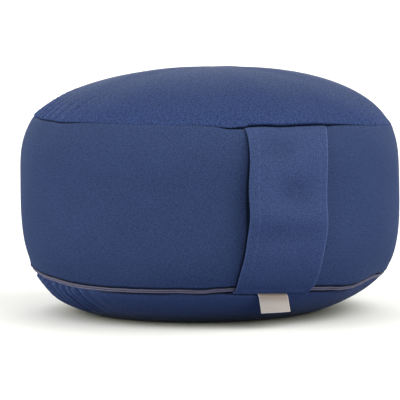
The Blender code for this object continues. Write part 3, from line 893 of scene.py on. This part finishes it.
class ZAFU_OT_cushion(bpy.types.Operator):
    """Makes the filled cushion, whose side band shows between the seams"""

    bl_idname = "zafu.cushion"
    bl_label = "Filled cushion and side band"

    def execute(self, context):
        sizes = context.scene.zafu_sizes
        widest = sizes.widest_radius
        side = Outline(band, 0, 1, widest)
        away_top = lengths_between_seams(side.length)
        points, outward = side.at(away_top)
        count = len(points)

        top = Outline(crown, 1, 0, widest)
        under_top, top_out = top.at(np.linspace(UNDER_TOP_FROM, 1, UNDER_TOP_ROWS) * top.length)
        under_top = (under_top + top_out * UNDER_CLOTH * np.sign(-top_out[:, 1:]))[::-1]
        under_top[0, 0] = 0
        foot = Outline(bowl, 0, 1, widest)
        under_foot, foot_out = foot.at(np.linspace(UNDER_FOOT_FROM, 1, UNDER_FOOT_ROWS) * foot.length)
        under_foot = under_foot - foot_out * UNDER_CLOTH
        in_top = (points[0, 0] - SEAM_TURN - CLOTH, TOP_SEAM_HEIGHT)
        in_low = (points[-1, 0] - SEAM_TURN - CLOTH, LOW_SEAM_HEIGHT)
        behind_zip = (LOW_SEAM_RADIUS - SEAM_TURN - 2 * CLOTH, LOW_SEAM_HEIGHT - ZIP_DROP)
        profile = np.concatenate(
            [under_top, [in_top], points, [in_low, behind_zip], under_foot, [(0, UNDER_CLOTH)]]
        )
        mesh = spun("cushion", profile, sizes.columns * 3 // 4)  # fewer do, for want of gathers

        before = len(under_top) + 1
        rows, azimuth, radius, height = read_spun(mesh)
        on_band = (rows >= before) & (rows < before + count)
        row = np.clip(rows - before, 0, count - 1)
        from_top, from_low = away_top[row], side.length - away_top[row]
        raised = lumpy(azimuth, height) * ease(from_top / LUMP_START) * ease(from_low / LUMP_START)
        raised += puckered(azimuth, from_top, "band top")
        raised += puckered(azimuth, from_low, "band low", ZIP_PUCKER_SIZE)
        raised -= top_groove(azimuth, from_top) + folded_edge(from_low)
        raised += swelled(BAND_SWELLS, azimuth) * np.sin(pi * from_top / side.length) ** 2
        radius += np.where(on_band, raised * outward[row, 0], 0)
        height += np.where(on_band, raised * outward[row, 1], 0)
        near_top = np.where(rows < before, 0, from_top)
        near_low = np.where(rows >= before + count, 0, from_low)
        drop = lift(TOP_SEAM, azimuth, near_top) * (rows < before + count)
        height += (drop - slot(azimuth, near_top) * on_band) * (rows >= before - 1)
        height += lift(LOW_SEAM, azimuth, near_low) * on_band
        turned_in = (rows >= before + count) & (rows < before + count + 2)
        height += lift(LOW_SEAM, azimuth, 0 * azimuth) * turned_in
        radius += on_band * (flare(azimuth, near_low) + corner(azimuth, near_top) - TOP_SLOPE * drop)
        write_settled(mesh, azimuth, radius, height)
        turn = tau * widest
        write_weave_map(mesh, azimuth / tau * turn, height, turn)
        paled = wear_and_painted_light(BAND_TOP_WEAR, from_top) + wear_and_painted_light(BAND_LOW_WEAR, from_low)
        write_shares(mesh, "wear_and_painted_light", np.where(on_band, paled, 0))
        # Painted shade: in the top seam's groove, in a dark line along the band's edge over the zip, and on
        # the band behind the handle
        wide = LOW_PAINTED_SHADE_WIDTH + LOW_PAINTED_SHADE_WIDENS * around(LOW_SEAM, azimuth, "flare") * MM
        painted_shade = top_groove_painted_shade(azimuth, from_top) + LOW_EDGE_PAINTED_SHADE * near(from_low, wide)
        shade = np.maximum(painted_shade, self.painted_shade_behind_handle(azimuth, radius, height))
        write_shares(mesh, "painted_shade", on_band * shade)
        piece = finished("cushion", mesh, cotton_material("band_cotton"), "band_cloth", "cushion_body")
        return {"FINISHED"}

    def painted_shade_behind_handle(self, azimuth, radius, height):
        """Painted shade on the band behind the handle, from just inside its long edges."""
        from_middle = np.abs(radius * np.sin(azimuth) - leaning(height, "aside") * MM)
        inside = HANDLE_WIDTH / 2 * leaning(height, "wide") - from_middle
        bow = np.sin(pi * np.clip((HANDLE_TOP - height) / (HANDLE_TOP - HANDLE_BOTTOM), 0, 1))
        deep = ease((inside - HANDLE_SHADE_IN * bow) / HANDLE_SHADE + 1)
        return HANDLE_SHADE_DARK * deep * (np.cos(azimuth) > 0)


class ZAFU_OT_top_panel(bpy.types.Operator):
    """Makes the round top panel, gathered where it is eased into the band"""

    bl_idname = "zafu.top_panel"
    bl_label = "Gathered top panel"

    def execute(self, context):
        sizes = context.scene.zafu_sizes
        top = Outline(crown, 1, 0, sizes.widest_radius)
        away = lengths_from_seam(top.length)
        points, outward = top.at(away)
        outward = -outward
        points[-1, 0] = 0
        turned_in = (TOP_SEAM_RADIUS - SEAM_TURN, TOP_SEAM_HEIGHT)
        mesh = spun("top_panel_cloth", np.concatenate([[turned_in], points]), sizes.columns)

        rows, azimuth, radius, height = read_spun(mesh)
        row = np.clip(rows - 1, 0, len(points) - 1)
        shown = rows > 0
        from_seam = away[row]
        gathers = TOP_GATHERS + back_gathers(TOP_BACK, "top back")
        folds = gathered(gathers, azimuth, from_seam, TOP_SEAM_RADIUS) * sizes.gather_strength
        raised = folds + lumpy(azimuth, height) * ease(from_seam / LUMP_START) * ease(radius / LUMP_MIDDLE)
        raised += puckered(azimuth, from_seam, "top panel") - top_groove(azimuth, from_seam)
        lip = np.exp(-((from_seam / LIP_REACH) ** LIP_POWER))
        raised += around(TOP_SEAM, azimuth, "lip") * MM * lip
        swell = swelled(CROWN_SWELLS, azimuth) * ease(radius / CROWN_SWELL_START)
        raised += (CROWN_RISE + swell) * ease(from_seam / CROWN_RISE_START)
        shoulder = from_seam / SHOULDER_REACH
        raised += swelled(SHOULDER_SWELLS, azimuth) * shoulder * np.exp(1 - shoulder)
        raised += MIDDLE_RISE * near(radius, MIDDLE_SPREAD)
        drop = lift(TOP_SEAM, azimuth, from_seam)
        radius += np.where(shown, raised * outward[row, 0] + corner(azimuth, from_seam) - TOP_SLOPE * drop, 0)
        height += np.where(shown, raised * outward[row, 1] + slot(azimuth, from_seam), 0) + drop
        write_settled(mesh, azimuth, radius, height)
        write_round_weave(mesh, azimuth, top.length - from_seam)
        # Wear at the seam's edge, painted light over the shoulder, and a painted highlight on the gathers'
        # ridges
        paled = wear_and_painted_light(TOP_EDGE_WEAR, from_seam) + wear_and_painted_light(TOP_SHOULDER_LIGHT, from_seam)
        paled += TOP_RIDGE_HIGHLIGHT * np.clip(folds / MM, 0, 1) ** TOP_RIDGE_POWER
        write_shares(mesh, "wear_and_painted_light", paled)
        # Painted shade in the top seam's groove
        write_shares(mesh, "painted_shade", top_groove_painted_shade(azimuth, from_seam))
        material = cotton_material("top_cotton", TOP_PAINTED_LIGHT_TONE, heather=1.5, mottle=0.3, sheen=0.08)
        piece = finished("top_panel_cloth", mesh, material, "panel_cloth", "top_panel")
        round_sheet(piece)
        return {"FINISHED"}


class ZAFU_OT_bottom_panel(bpy.types.Operator):
    """Makes the round bottom panel, gathered under the zip and flat on the floor"""

    bl_idname = "zafu.bottom_panel"
    bl_label = "Gathered bottom panel"

    def execute(self, context):
        sizes = context.scene.zafu_sizes
        foot = Outline(bowl, ZIP_DROP / LOW_SEAM_HEIGHT, 1, sizes.widest_radius)
        away = lengths_from_seam(foot.length, coarse=2.6 * MM)
        points, outward = foot.at(away)
        flat = [(CONTACT_RADIUS * share, 0) for share in FLAT_RINGS]
        turned_in = (points[0, 0] - SEAM_TURN, points[0, 1])
        mesh = spun("bottom_panel_cloth", np.concatenate([[turned_in], points, flat]), sizes.columns)

        rows, azimuth, radius, height = read_spun(mesh)
        on_bowl = (rows > 0) & (rows <= len(points))
        row = np.clip(rows - 1, 0, len(points) - 1)
        from_seam = away[row]
        gathers = LOW_GATHERS + back_gathers(LOW_BACK, "low back")
        folds = gathered(gathers, azimuth, from_seam, LOW_SEAM_RADIUS) * sizes.gather_strength
        raised = folds + puckered(azimuth, from_seam, "bottom panel") - folded_edge(from_seam)
        raised += LOW_FLARE_SHARE * flare(azimuth, from_seam)
        raised += swelled(BOWL_SWELLS, azimuth) * np.sin(pi * from_seam / foot.length) ** 2
        raised -= around(LOW_SEAM, azimuth, "tuck") * MM * fading(from_seam, TUCK_REACH)
        shadow = around(LOW_SEAM, azimuth, "shadow")
        raised -= SHADOW_TUCK * (1 - shadow) * fading(from_seam, SHADOW_TUCK_REACH)
        raised *= ease(height / FLOOR_RISE)
        radius += np.where(on_bowl, raised * outward[row, 0], 0)
        height += np.where(on_bowl, raised * outward[row, 1], 0)
        cover = around(LOW_SEAM, azimuth, "cover") * MM / (1 + (from_seam / COVER_REACH) ** 2)
        pulled = (lift(LOW_SEAM, azimuth, from_seam) + cover) * ease(height / FLOOR_PULL)
        height = np.where(rows <= len(points), height + pulled, height)
        write_settled(mesh, azimuth, radius, height)
        flat_radius = np.where(rows > len(points), radius, CONTACT_RADIUS + foot.length - from_seam)
        write_round_weave(mesh, azimuth, flat_radius)
        # Painted highlight on the gathers' ridges
        write_shares(mesh, "wear_and_painted_light", np.where(on_bowl, np.clip(folds / MM, 0, 1) ** LOW_RIDGE_POWER, 0))
        # Painted shade in the gap under the zip, and a painted shadow towards the floor
        painted_shade = shadow * near(from_seam, SHADOW_WIDTH)
        write_shares(mesh, "painted_shade", np.maximum(painted_shade, ease(1 - height / FLOOR_SHADE)))
        material = cotton_material("bottom_cotton", BOTTOM_PAINTED_LIGHT_TONE)
        piece = finished("bottom_panel_cloth", mesh, material, "panel_cloth", "bottom_panel")
        round_sheet(piece)
        return {"FINISHED"}


class ZAFU_OT_zip(bpy.types.Operator):
    """Makes the closed zip's two halves, which run all round between the band and the bottom panel"""

    bl_idname = "zafu.zip"
    bl_label = "Closed zip"

    def execute(self, context):
        sizes = context.scene.zafu_sizes
        material = zip_material()
        half = (ZIP_DROP - ZIP_TOP_GAP - ZIP_MIDDLE_GAP - ZIP_LOW_GAP) / 2
        starts = (ZIP_TOP_GAP, ZIP_TOP_GAP + half + ZIP_MIDDLE_GAP)
        names = (("zip_upper_run", "zip_upper"), ("zip_lower_run", "zip_lower"))
        for (name, stands_for), start, flare_share in zip(names, starts, ZIP_FLARE_SHARES):
            self.add_half(name, stands_for, start, half, flare_share, material, sizes)
        return {"FINISHED"}

    def add_half(self, name, stands_for, start, half, flare_share, material, sizes):
        """One half: a low ridge with a rounded front, from start below the band's edge."""
        angles = np.linspace(0, pi, ZIP_FRONT_POINTS)
        down = start + half / 2 * (1 - np.cos(angles))
        height = LOW_SEAM_HEIGHT - down
        face = side_radius(height, sizes.widest_radius) - ZIP_RECESS
        face += ZIP_PROUD * (np.sin(angles) ** ZIP_ROUNDING - ZIP_EDGE_BACK)
        front = np.stack([face, height], 1)
        behind = [(front[-1, 0] - ZIP_DEEP, height[-1]), (front[0, 0] - ZIP_DEEP, height[0])]
        mesh = spun(name, np.concatenate([front, behind]), sizes.columns, closed=True)
        rows, azimuth, radius, height = read_spun(mesh)
        radius += flare_share * flare(azimuth, 0 * azimuth)
        first_wave = ZIP_OUT_WAVES[0]._replace(phase=start / MM)  # so that the halves differ
        radius += waves((first_wave, *ZIP_OUT_WAVES[1:]), azimuth)
        height += lift(LOW_SEAM, azimuth, 0 * azimuth) + waves(ZIP_RISE_WAVES, azimuth)
        write_settled(mesh, azimuth, radius, height)
        write_weave_map(mesh, azimuth * LOW_SEAM_RADIUS, height, tau * LOW_SEAM_RADIUS)
        return finished(name, mesh, material, "zip_tape", stands_for)


def strap_line(share, widest):
    """The strap's inner face down its middle, from inside the top seam (0) to inside the low one (1)."""
    drop = HANDLE_TOP - HANDLE_BOTTOM
    tucked = HANDLE_TUCK / (drop + 2 * HANDLE_TUCK)
    down = np.clip((share - tucked) / (1 - 2 * tucked), 0, 1)
    height = HANDLE_TOP - drop * down
    stand = side_radius(height, widest) + HANDLE_CLEAR + HANDLE_BOW * np.sin(pi * down)
    stand += HANDLE_BEND * near(height - HANDLE_BEND_HEIGHT, HANDLE_BEND_SPREAD)
    stand -= HANDLE_TUCK * (np.clip(1 - share / tucked, 0, 1) + np.clip(1 - (1 - share) / tucked, 0, 1))
    rounding = int(len(share) * 2 * HANDLE_TUCK_ROUND / (drop + 2 * HANDLE_TUCK)) // 2 * 2 + 1
    even = np.ones(rounding) / rounding
    line = (np.convolve(np.pad(values, rounding // 2, "edge"), even, "valid") for values in (stand, height))
    return tuple(line)


def leaning(height, column):
    """How the strap leans aside, or its share of the full width, at a height."""
    heights = [-row.height for row in HANDLE_LEAN]
    values = [getattr(row, column) for row in HANDLE_LEAN]
    return np.mean([np.interp(-height / MM + off, heights, values) for off in LEAN_SMOOTHING], axis=0)


class ZAFU_OT_handle(bpy.types.Operator):
    """Makes the handle strap, a folded double layer of cloth that bows off the band"""

    bl_idname = "zafu.handle"
    bl_label = "Cloth handle strap"

    ROWS = 170
    END_ROWS = 22  # of them in each turned-in end
    FLAT_STEPS = 60
    FOLD_STEPS = 7

    def section(self):
        """The strap's section, once round: (across in metres, out as a share of the thickness)."""
        half, round_ = HANDLE_WIDTH / 2, HANDLE_THICK / 3
        flat = np.linspace(-half + round_, half - round_, self.FLAT_STEPS)
        turn = np.linspace(0, pi, self.FOLD_STEPS + 2)[1:-1]
        right = np.stack([half - round_ + round_ * np.sin(turn), 0.5 + 0.5 * np.cos(turn)], 1)
        left = np.stack([-half + round_ - round_ * np.sin(turn), 0.5 - 0.5 * np.cos(turn)], 1)
        front = np.stack([flat, np.ones_like(flat)], 1)
        back = np.stack([flat[::-1], np.zeros_like(flat)], 1)
        return np.concatenate([front, right, back, left])

    def tube(self, count):
        """A tube of rings, each point knowing its place round the ring and its ring."""
        bm = bmesh.new()
        place, ring = bm.verts.layers.int.new("place"), bm.verts.layers.int.new("ring")
        made = bmesh.ops.create_circle(bm, segments=count, radius=1)["verts"]
        for index, vertex in enumerate(made):
            vertex[place] = index
        edges = bm.edges[:]
        bmesh.ops.holes_fill(bm, edges=edges, sides=0)
        for row in range(1, self.ROWS + 1):
            extruded = bmesh.ops.extrude_edge_only(bm, edges=edges)["geom"]
            edges = [item for item in extruded if isinstance(item, bmesh.types.BMEdge)]
            for vertex in (item for item in extruded if isinstance(item, bmesh.types.BMVert)):
                vertex[ring] = row
        bmesh.ops.holes_fill(bm, edges=edges, sides=0)
        return bm

    def execute(self, context):
        widest = context.scene.zafu_sizes.widest_radius
        section = self.section()
        bm = self.tube(len(section))
        place, ring = bm.verts.layers.int["place"], bm.verts.layers.int["ring"]
        places = np.array([vertex[place] for vertex in bm.verts])
        rings = np.array([vertex[ring] for vertex in bm.verts])

        line = Outline(strap_line, 0, 1, widest)
        end = HANDLE_TUCK + 2 * HANDLE_TUCK_ROUND
        ends = (0, self.END_ROWS, self.ROWS - self.END_ROWS, self.ROWS)
        along = np.interp(rings, ends, (0, end, line.length - end, line.length))
        points, outward = line.at(along)
        shown = np.clip((along - HANDLE_TUCK) / (line.length - 2 * HANDLE_TUCK), 0, 1)
        height = HANDLE_TOP + (HANDLE_BOTTOM - HANDLE_TOP) * shown
        across, out = section[places, 0], section[places, 1]
        edge = HANDLE_WIDTH / 2 - np.abs(across)
        from_top = np.maximum(along - HANDLE_TUCK, 0)
        from_low = np.maximum(line.length - HANDLE_TUCK - along, 0)
        ends = np.minimum(from_top, from_low)
        bow = np.sin(pi * shown)

        sunk = np.zeros_like(across)
        for hollow in HANDLE_HOLLOWS:
            off_side = (across / MM - hollow.aside) / hollow.wide
            off_up = (height / MM - hollow.height) / hollow.tall
            sunk += hollow.deep * MM * np.exp(-(off_side**2) - off_up**2)
        relief = ALLOWANCE_RISE * ease((ALLOWANCE - edge) / ALLOWANCE_SLOPE + 0.5)
        relief -= ALLOWANCE_DENT * near(edge - ALLOWANCE - ALLOWANCE_DENT_IN, ALLOWANCE_DENT_WIDTH)
        relief += SLACK * np.sin(across * SLACK_ACROSS + SLACK_DOWN * shown) * bow
        relief += self.creases(across, shown, height) - sunk
        relief *= ease(ends / HANDLE_EVEN_END)
        thick = HANDLE_THICK * (HANDLE_THIN + (1 - HANDLE_THIN) * ease(ends / HANDLE_THIN_REACH))
        out_by = out * (thick + relief)

        x = leaning(height, "aside") * MM + across * leaning(height, "wide")
        x += waves(WANDER, shown) * np.sign(across) * (1 - ease(edge / WANDER_REACH))
        curve = 1 / TOP_SEAM_RADIUS + (1 / HANDLE_MIDDLE_ROUND - 1 / TOP_SEAM_RADIUS) * bow
        droop = HANDLE_CURL * bow * np.clip(1 - edge / HANDLE_CURL_REACH, 0, 1) ** 2
        azimuth = x / TOP_SEAM_RADIUS
        drop = lift(TOP_SEAM, azimuth, from_top)
        rise = drop + lift(LOW_SEAM, azimuth, from_low)
        y = curve * x * x / 2 + droop - points[:, 0] - outward[:, 0] * out_by + TOP_SLOPE * drop
        z = points[:, 1] + outward[:, 1] * out_by + rise
        spots = settle(np.stack([x + outward[:, 0] * out_by * curve * x, y, z], 1))
        for vertex, spot in zip(bm.verts, spots):
            vertex.co = spot
        bmesh.ops.recalc_face_normals(bm, faces=bm.faces[:])
        mesh = made_mesh("strap_cloth_folded", bm)

        write_weave_map(mesh, across + STRAP_BACK_MAP * (out < 0.5), along + STRAP_MAP_DOWN)
        # Wear on both long edges and a painted highlight on the right one; the stitch lines paler
        paled = near(edge - EDGE_PALE_IN, EDGE_PALE_WIDTH) * (EDGE_WEAR + RIGHT_EDGE_HIGHLIGHT * (across > 0))
        pressed = STITCH_WEAR * near(edge - ALLOWANCE, STITCH_WIDTH) * (1 + np.sin(along / STITCH_PITCH))
        write_shares(mesh, "wear_and_painted_light", paled + pressed * (out > 0.5))
        # Painted shade in the strap's hollows
        write_shares(mesh, "painted_shade", HOLLOW_SHADE * sunk / MM)
        material = cotton_material("strap_cotton", STRAP_PAINTED_LIGHT_TONE)
        piece = finished("strap_cloth_folded", mesh, material, "strap_cloth", "handle_strap")
        return {"FINISHED"}

    def creases(self, across, shown, height):
        """Slack puckers at the sewn ends, and a soft fold across the bend."""
        askew = height + across * SKEW - HANDLE_BEND_HEIGHT
        varied = SKEW_EVEN + (1 - SKEW_EVEN) * np.cos(across * SKEW_COUNT + 0.5)
        relief = SKEW_FOLD * near(askew, SKEW_WIDTH) * varied
        for away, tug, reach in zip((shown, 1 - shown), TUGS, TUG_REACHES):
            relief += waves([tug], across) * fading(away, reach)
        return relief


class ZAFU_OT_label(bpy.types.Operator):
    """Makes the small label, a bare loop of folded ribbon sewn into the lower seam"""

    bl_idname = "zafu.label"
    bl_label = "Ribbon label"

    COLUMNS = 30
    ROWS = 34

    def execute(self, context):
        bm = bmesh.new()
        bmesh.ops.create_grid(bm, x_segments=self.COLUMNS, y_segments=self.ROWS, size=0.5)
        across = np.array([vertex.co.x for vertex in bm.verts])
        along = np.array([0.5 - vertex.co.y for vertex in bm.verts])
        front = along < 0.5
        share = np.where(front, along * 2, 2 - along * 2)
        drop = LABEL_DROP - LABEL_SKEW * across
        down = drop * np.sin(np.clip(share, 0, 1) * pi / 2) ** LABEL_ROUNDING
        hang = down / drop
        rounding = np.sqrt(1 - np.clip((down - drop + LABEL_FOLD) / LABEL_FOLD, 0, 1) ** 2)
        out = LABEL_FOLD + np.where(front, 1, -1) * (LABEL_FOLD - LABEL_PLY / 2) * rounding
        x = LABEL_ASIDE + across * LABEL_WIDTH + LABEL_LEAN * hang
        curl = LABEL_CURL * hang**2 * np.cos(across * LABEL_CURL_TURN) + waves(LABEL_WAVES, across) * hang
        tuck = LABEL_TUCK * (1 - ease(down / LABEL_TUCK_DROP))
        y = x**2 / (2 * LOW_SEAM_RADIUS) + tuck - (LOW_SEAM_RADIUS + LABEL_CLEAR + out + curl)
        points = np.stack([x, y, LABEL_BOX[1].z - down - LABEL_TILT * across], 1)
        for vertex, point in zip(bm.verts, points):
            vertex.co = point
        mesh = made_mesh("ribbon_label", bm)
        edge = np.minimum((0.5 - np.abs(across)) * LABEL_WIDTH, drop - down)
        write_weave_map(mesh, across * LABEL_WIDTH, along * 2 * LABEL_DROP)
        border = 1 - ease((edge - LABEL_BORDER) / LABEL_BORDER_EASE)
        # Its woven border, and painted light that pales it towards the bottom
        write_shares(mesh, "wear_and_painted_light", np.maximum(border, LABEL_PALE * ease(hang / LABEL_PALE_FROM)))
        piece = finished("ribbon_label", mesh, ribbon_material(), "label_ribbon", "label")
        cloth = piece.modifiers.new("ribbon", "SOLIDIFY")
        cloth.thickness = LABEL_PLY
        cloth.offset = 0
        return {"FINISHED"}


class ZAFU_OT_stage(bpy.types.Operator):
    """Sets the white floor, the soft light and the camera"""

    bl_idname = "zafu.stage"
    bl_label = "Floor, light and camera"

    def execute(self, context):
        self.floor(context)
        self.lights(context)
        self.camera(context)
        context.scene.view_settings.view_transform = "Standard"
        return {"FINISHED"}

    def floor(self, context):
        bm = bmesh.new()
        bmesh.ops.create_grid(bm, x_segments=1, y_segments=1, size=FLOOR_SIZE / 2)
        mesh = made_mesh("floor", bm)
        made, wire, shader = plain_material("white_paper")
        spot = wire.node("ShaderNodeTexCoord").outputs["Object"]
        reach = wire.node("ShaderNodeVectorMath", {0: spot}, operation="LENGTH").outputs["Value"]
        limits = {"Value": reach, "From Min": FLOOR_NEAR, "From Max": FLOOR_CLEAR}
        clear = wire.node("ShaderNodeMapRange", limits, interpolation_type="SMOOTHSTEP").outputs[0]
        # Near the cushion the paper is painted darker: a painted shadow where the camera sees it, and painted
        # shade in the light it bounces
        bounced = wire.mixed(clear, NEAR_BOUNCED, CLEAR_BOUNCED)
        paper = wire.mixed(clear, NEAR_SEEN, CLEAR_SEEN)
        seen = wire.node("ShaderNodeLightPath").outputs["Is Camera Ray"]
        inputs = {"Base Color": wire.mixed(seen, bounced, paper), "Roughness": 0.9, "Specular IOR Level": 0.1}
        wire.dress(shader, inputs)
        mesh.materials.append(made)
        floor = bpy.data.objects.new("floor", mesh)
        floor.location.z = -FLOOR_GAP
        context.scene.collection.objects.link(floor)

    def lights(self, context):
        world = bpy.data.worlds.new("soft_room")
        world.use_nodes = True
        background = world.node_tree.nodes["Background"]
        background.inputs["Color"].default_value = (1, 1, 1, 1)
        background.inputs["Strength"].default_value = ROOM_STRENGTH
        context.scene.world = world
        for lamp in LAMPS:
            light = bpy.data.lights.new(lamp.name, "SUN")
            light.energy = lamp.strength
            light.angle = radians(lamp.spread)
            hung = bpy.data.objects.new(lamp.name, light)
            azimuth, elevation = radians(lamp.azimuth), radians(lamp.elevation)
            level = cos(elevation)
            away = Vector((sin(azimuth) * level, -cos(azimuth) * level, sin(elevation)))
            hung.rotation_euler = away.to_track_quat("Z", "Y").to_euler()
            context.scene.collection.objects.link(hung)

    def camera(self, context):
        lens = bpy.data.cameras.new("camera")
        lens.sensor_width = SENSOR
        lens.lens = FOCAL_PIXELS / PICTURE_PIXELS * SENSOR
        lens.clip_start = CLIP_START
        lens.clip_end = CLIP_END
        ahead = (TARGET - EYE).normalized()
        right = ahead.cross(Vector((0, 0, 1))).normalized()
        up = right.cross(ahead)
        right, up = (
            cos(CAMERA_ROLL) * right + sin(CAMERA_ROLL) * up,
            cos(CAMERA_ROLL) * up - sin(CAMERA_ROLL) * right,
        )
        camera = bpy.data.objects.new("camera", lens)
        camera.matrix_world = Matrix.Translation(EYE) @ Matrix((right, up, -ahead)).transposed().to_4x4()
        context.scene.collection.objects.link(camera)
        context.scene.camera = camera


class ZAFU_PT_pieces(bpy.types.Panel):
    """Lists the cushion's sizes, colours and pieces"""

    bl_idname = "ZAFU_PT_pieces"
    bl_label = "Zafu cushion"
    bl_space_type = "VIEW_3D"
    bl_region_type = "UI"
    bl_category = "Zafu"

    def draw(self, context):
        for settings in (context.scene.zafu_sizes, context.scene.zafu_colours):
            box = self.layout.box()
            for name in settings.bl_rna.properties.keys():
                if name not in ("rna_type", "name"):
                    box.prop(settings, name)
        for operator in PIECES:
            self.layout.operator(operator.bl_idname)


PIECES = (
    ZAFU_OT_cushion,
    ZAFU_OT_top_panel,
    ZAFU_OT_bottom_panel,
    ZAFU_OT_zip,
    ZAFU_OT_handle,
    ZAFU_OT_label,
    ZAFU_OT_stage,
)
CLASSES = (ZafuSizes, ZafuColours, *PIECES, ZAFU_PT_pieces)


def register():
    for made in CLASSES:
        bpy.utils.register_class(made)
    bpy.types.Scene.zafu_sizes = PointerProperty(type=ZafuSizes)
    bpy.types.Scene.zafu_colours = PointerProperty(type=ZafuColours)


def unregister():
    del bpy.types.Scene.zafu_colours
    del bpy.types.Scene.zafu_sizes
    for made in reversed(CLASSES):
        bpy.utils.unregister_class(made)


def main():
    register()
    bpy.ops.zafu.cushion()
    bpy.ops.zafu.top_panel()
    bpy.ops.zafu.bottom_panel()
    bpy.ops.zafu.zip()
    bpy.ops.zafu.handle()
    bpy.ops.zafu.label()
    bpy.ops.zafu.stage()


if __name__ == "__main__":
    main()
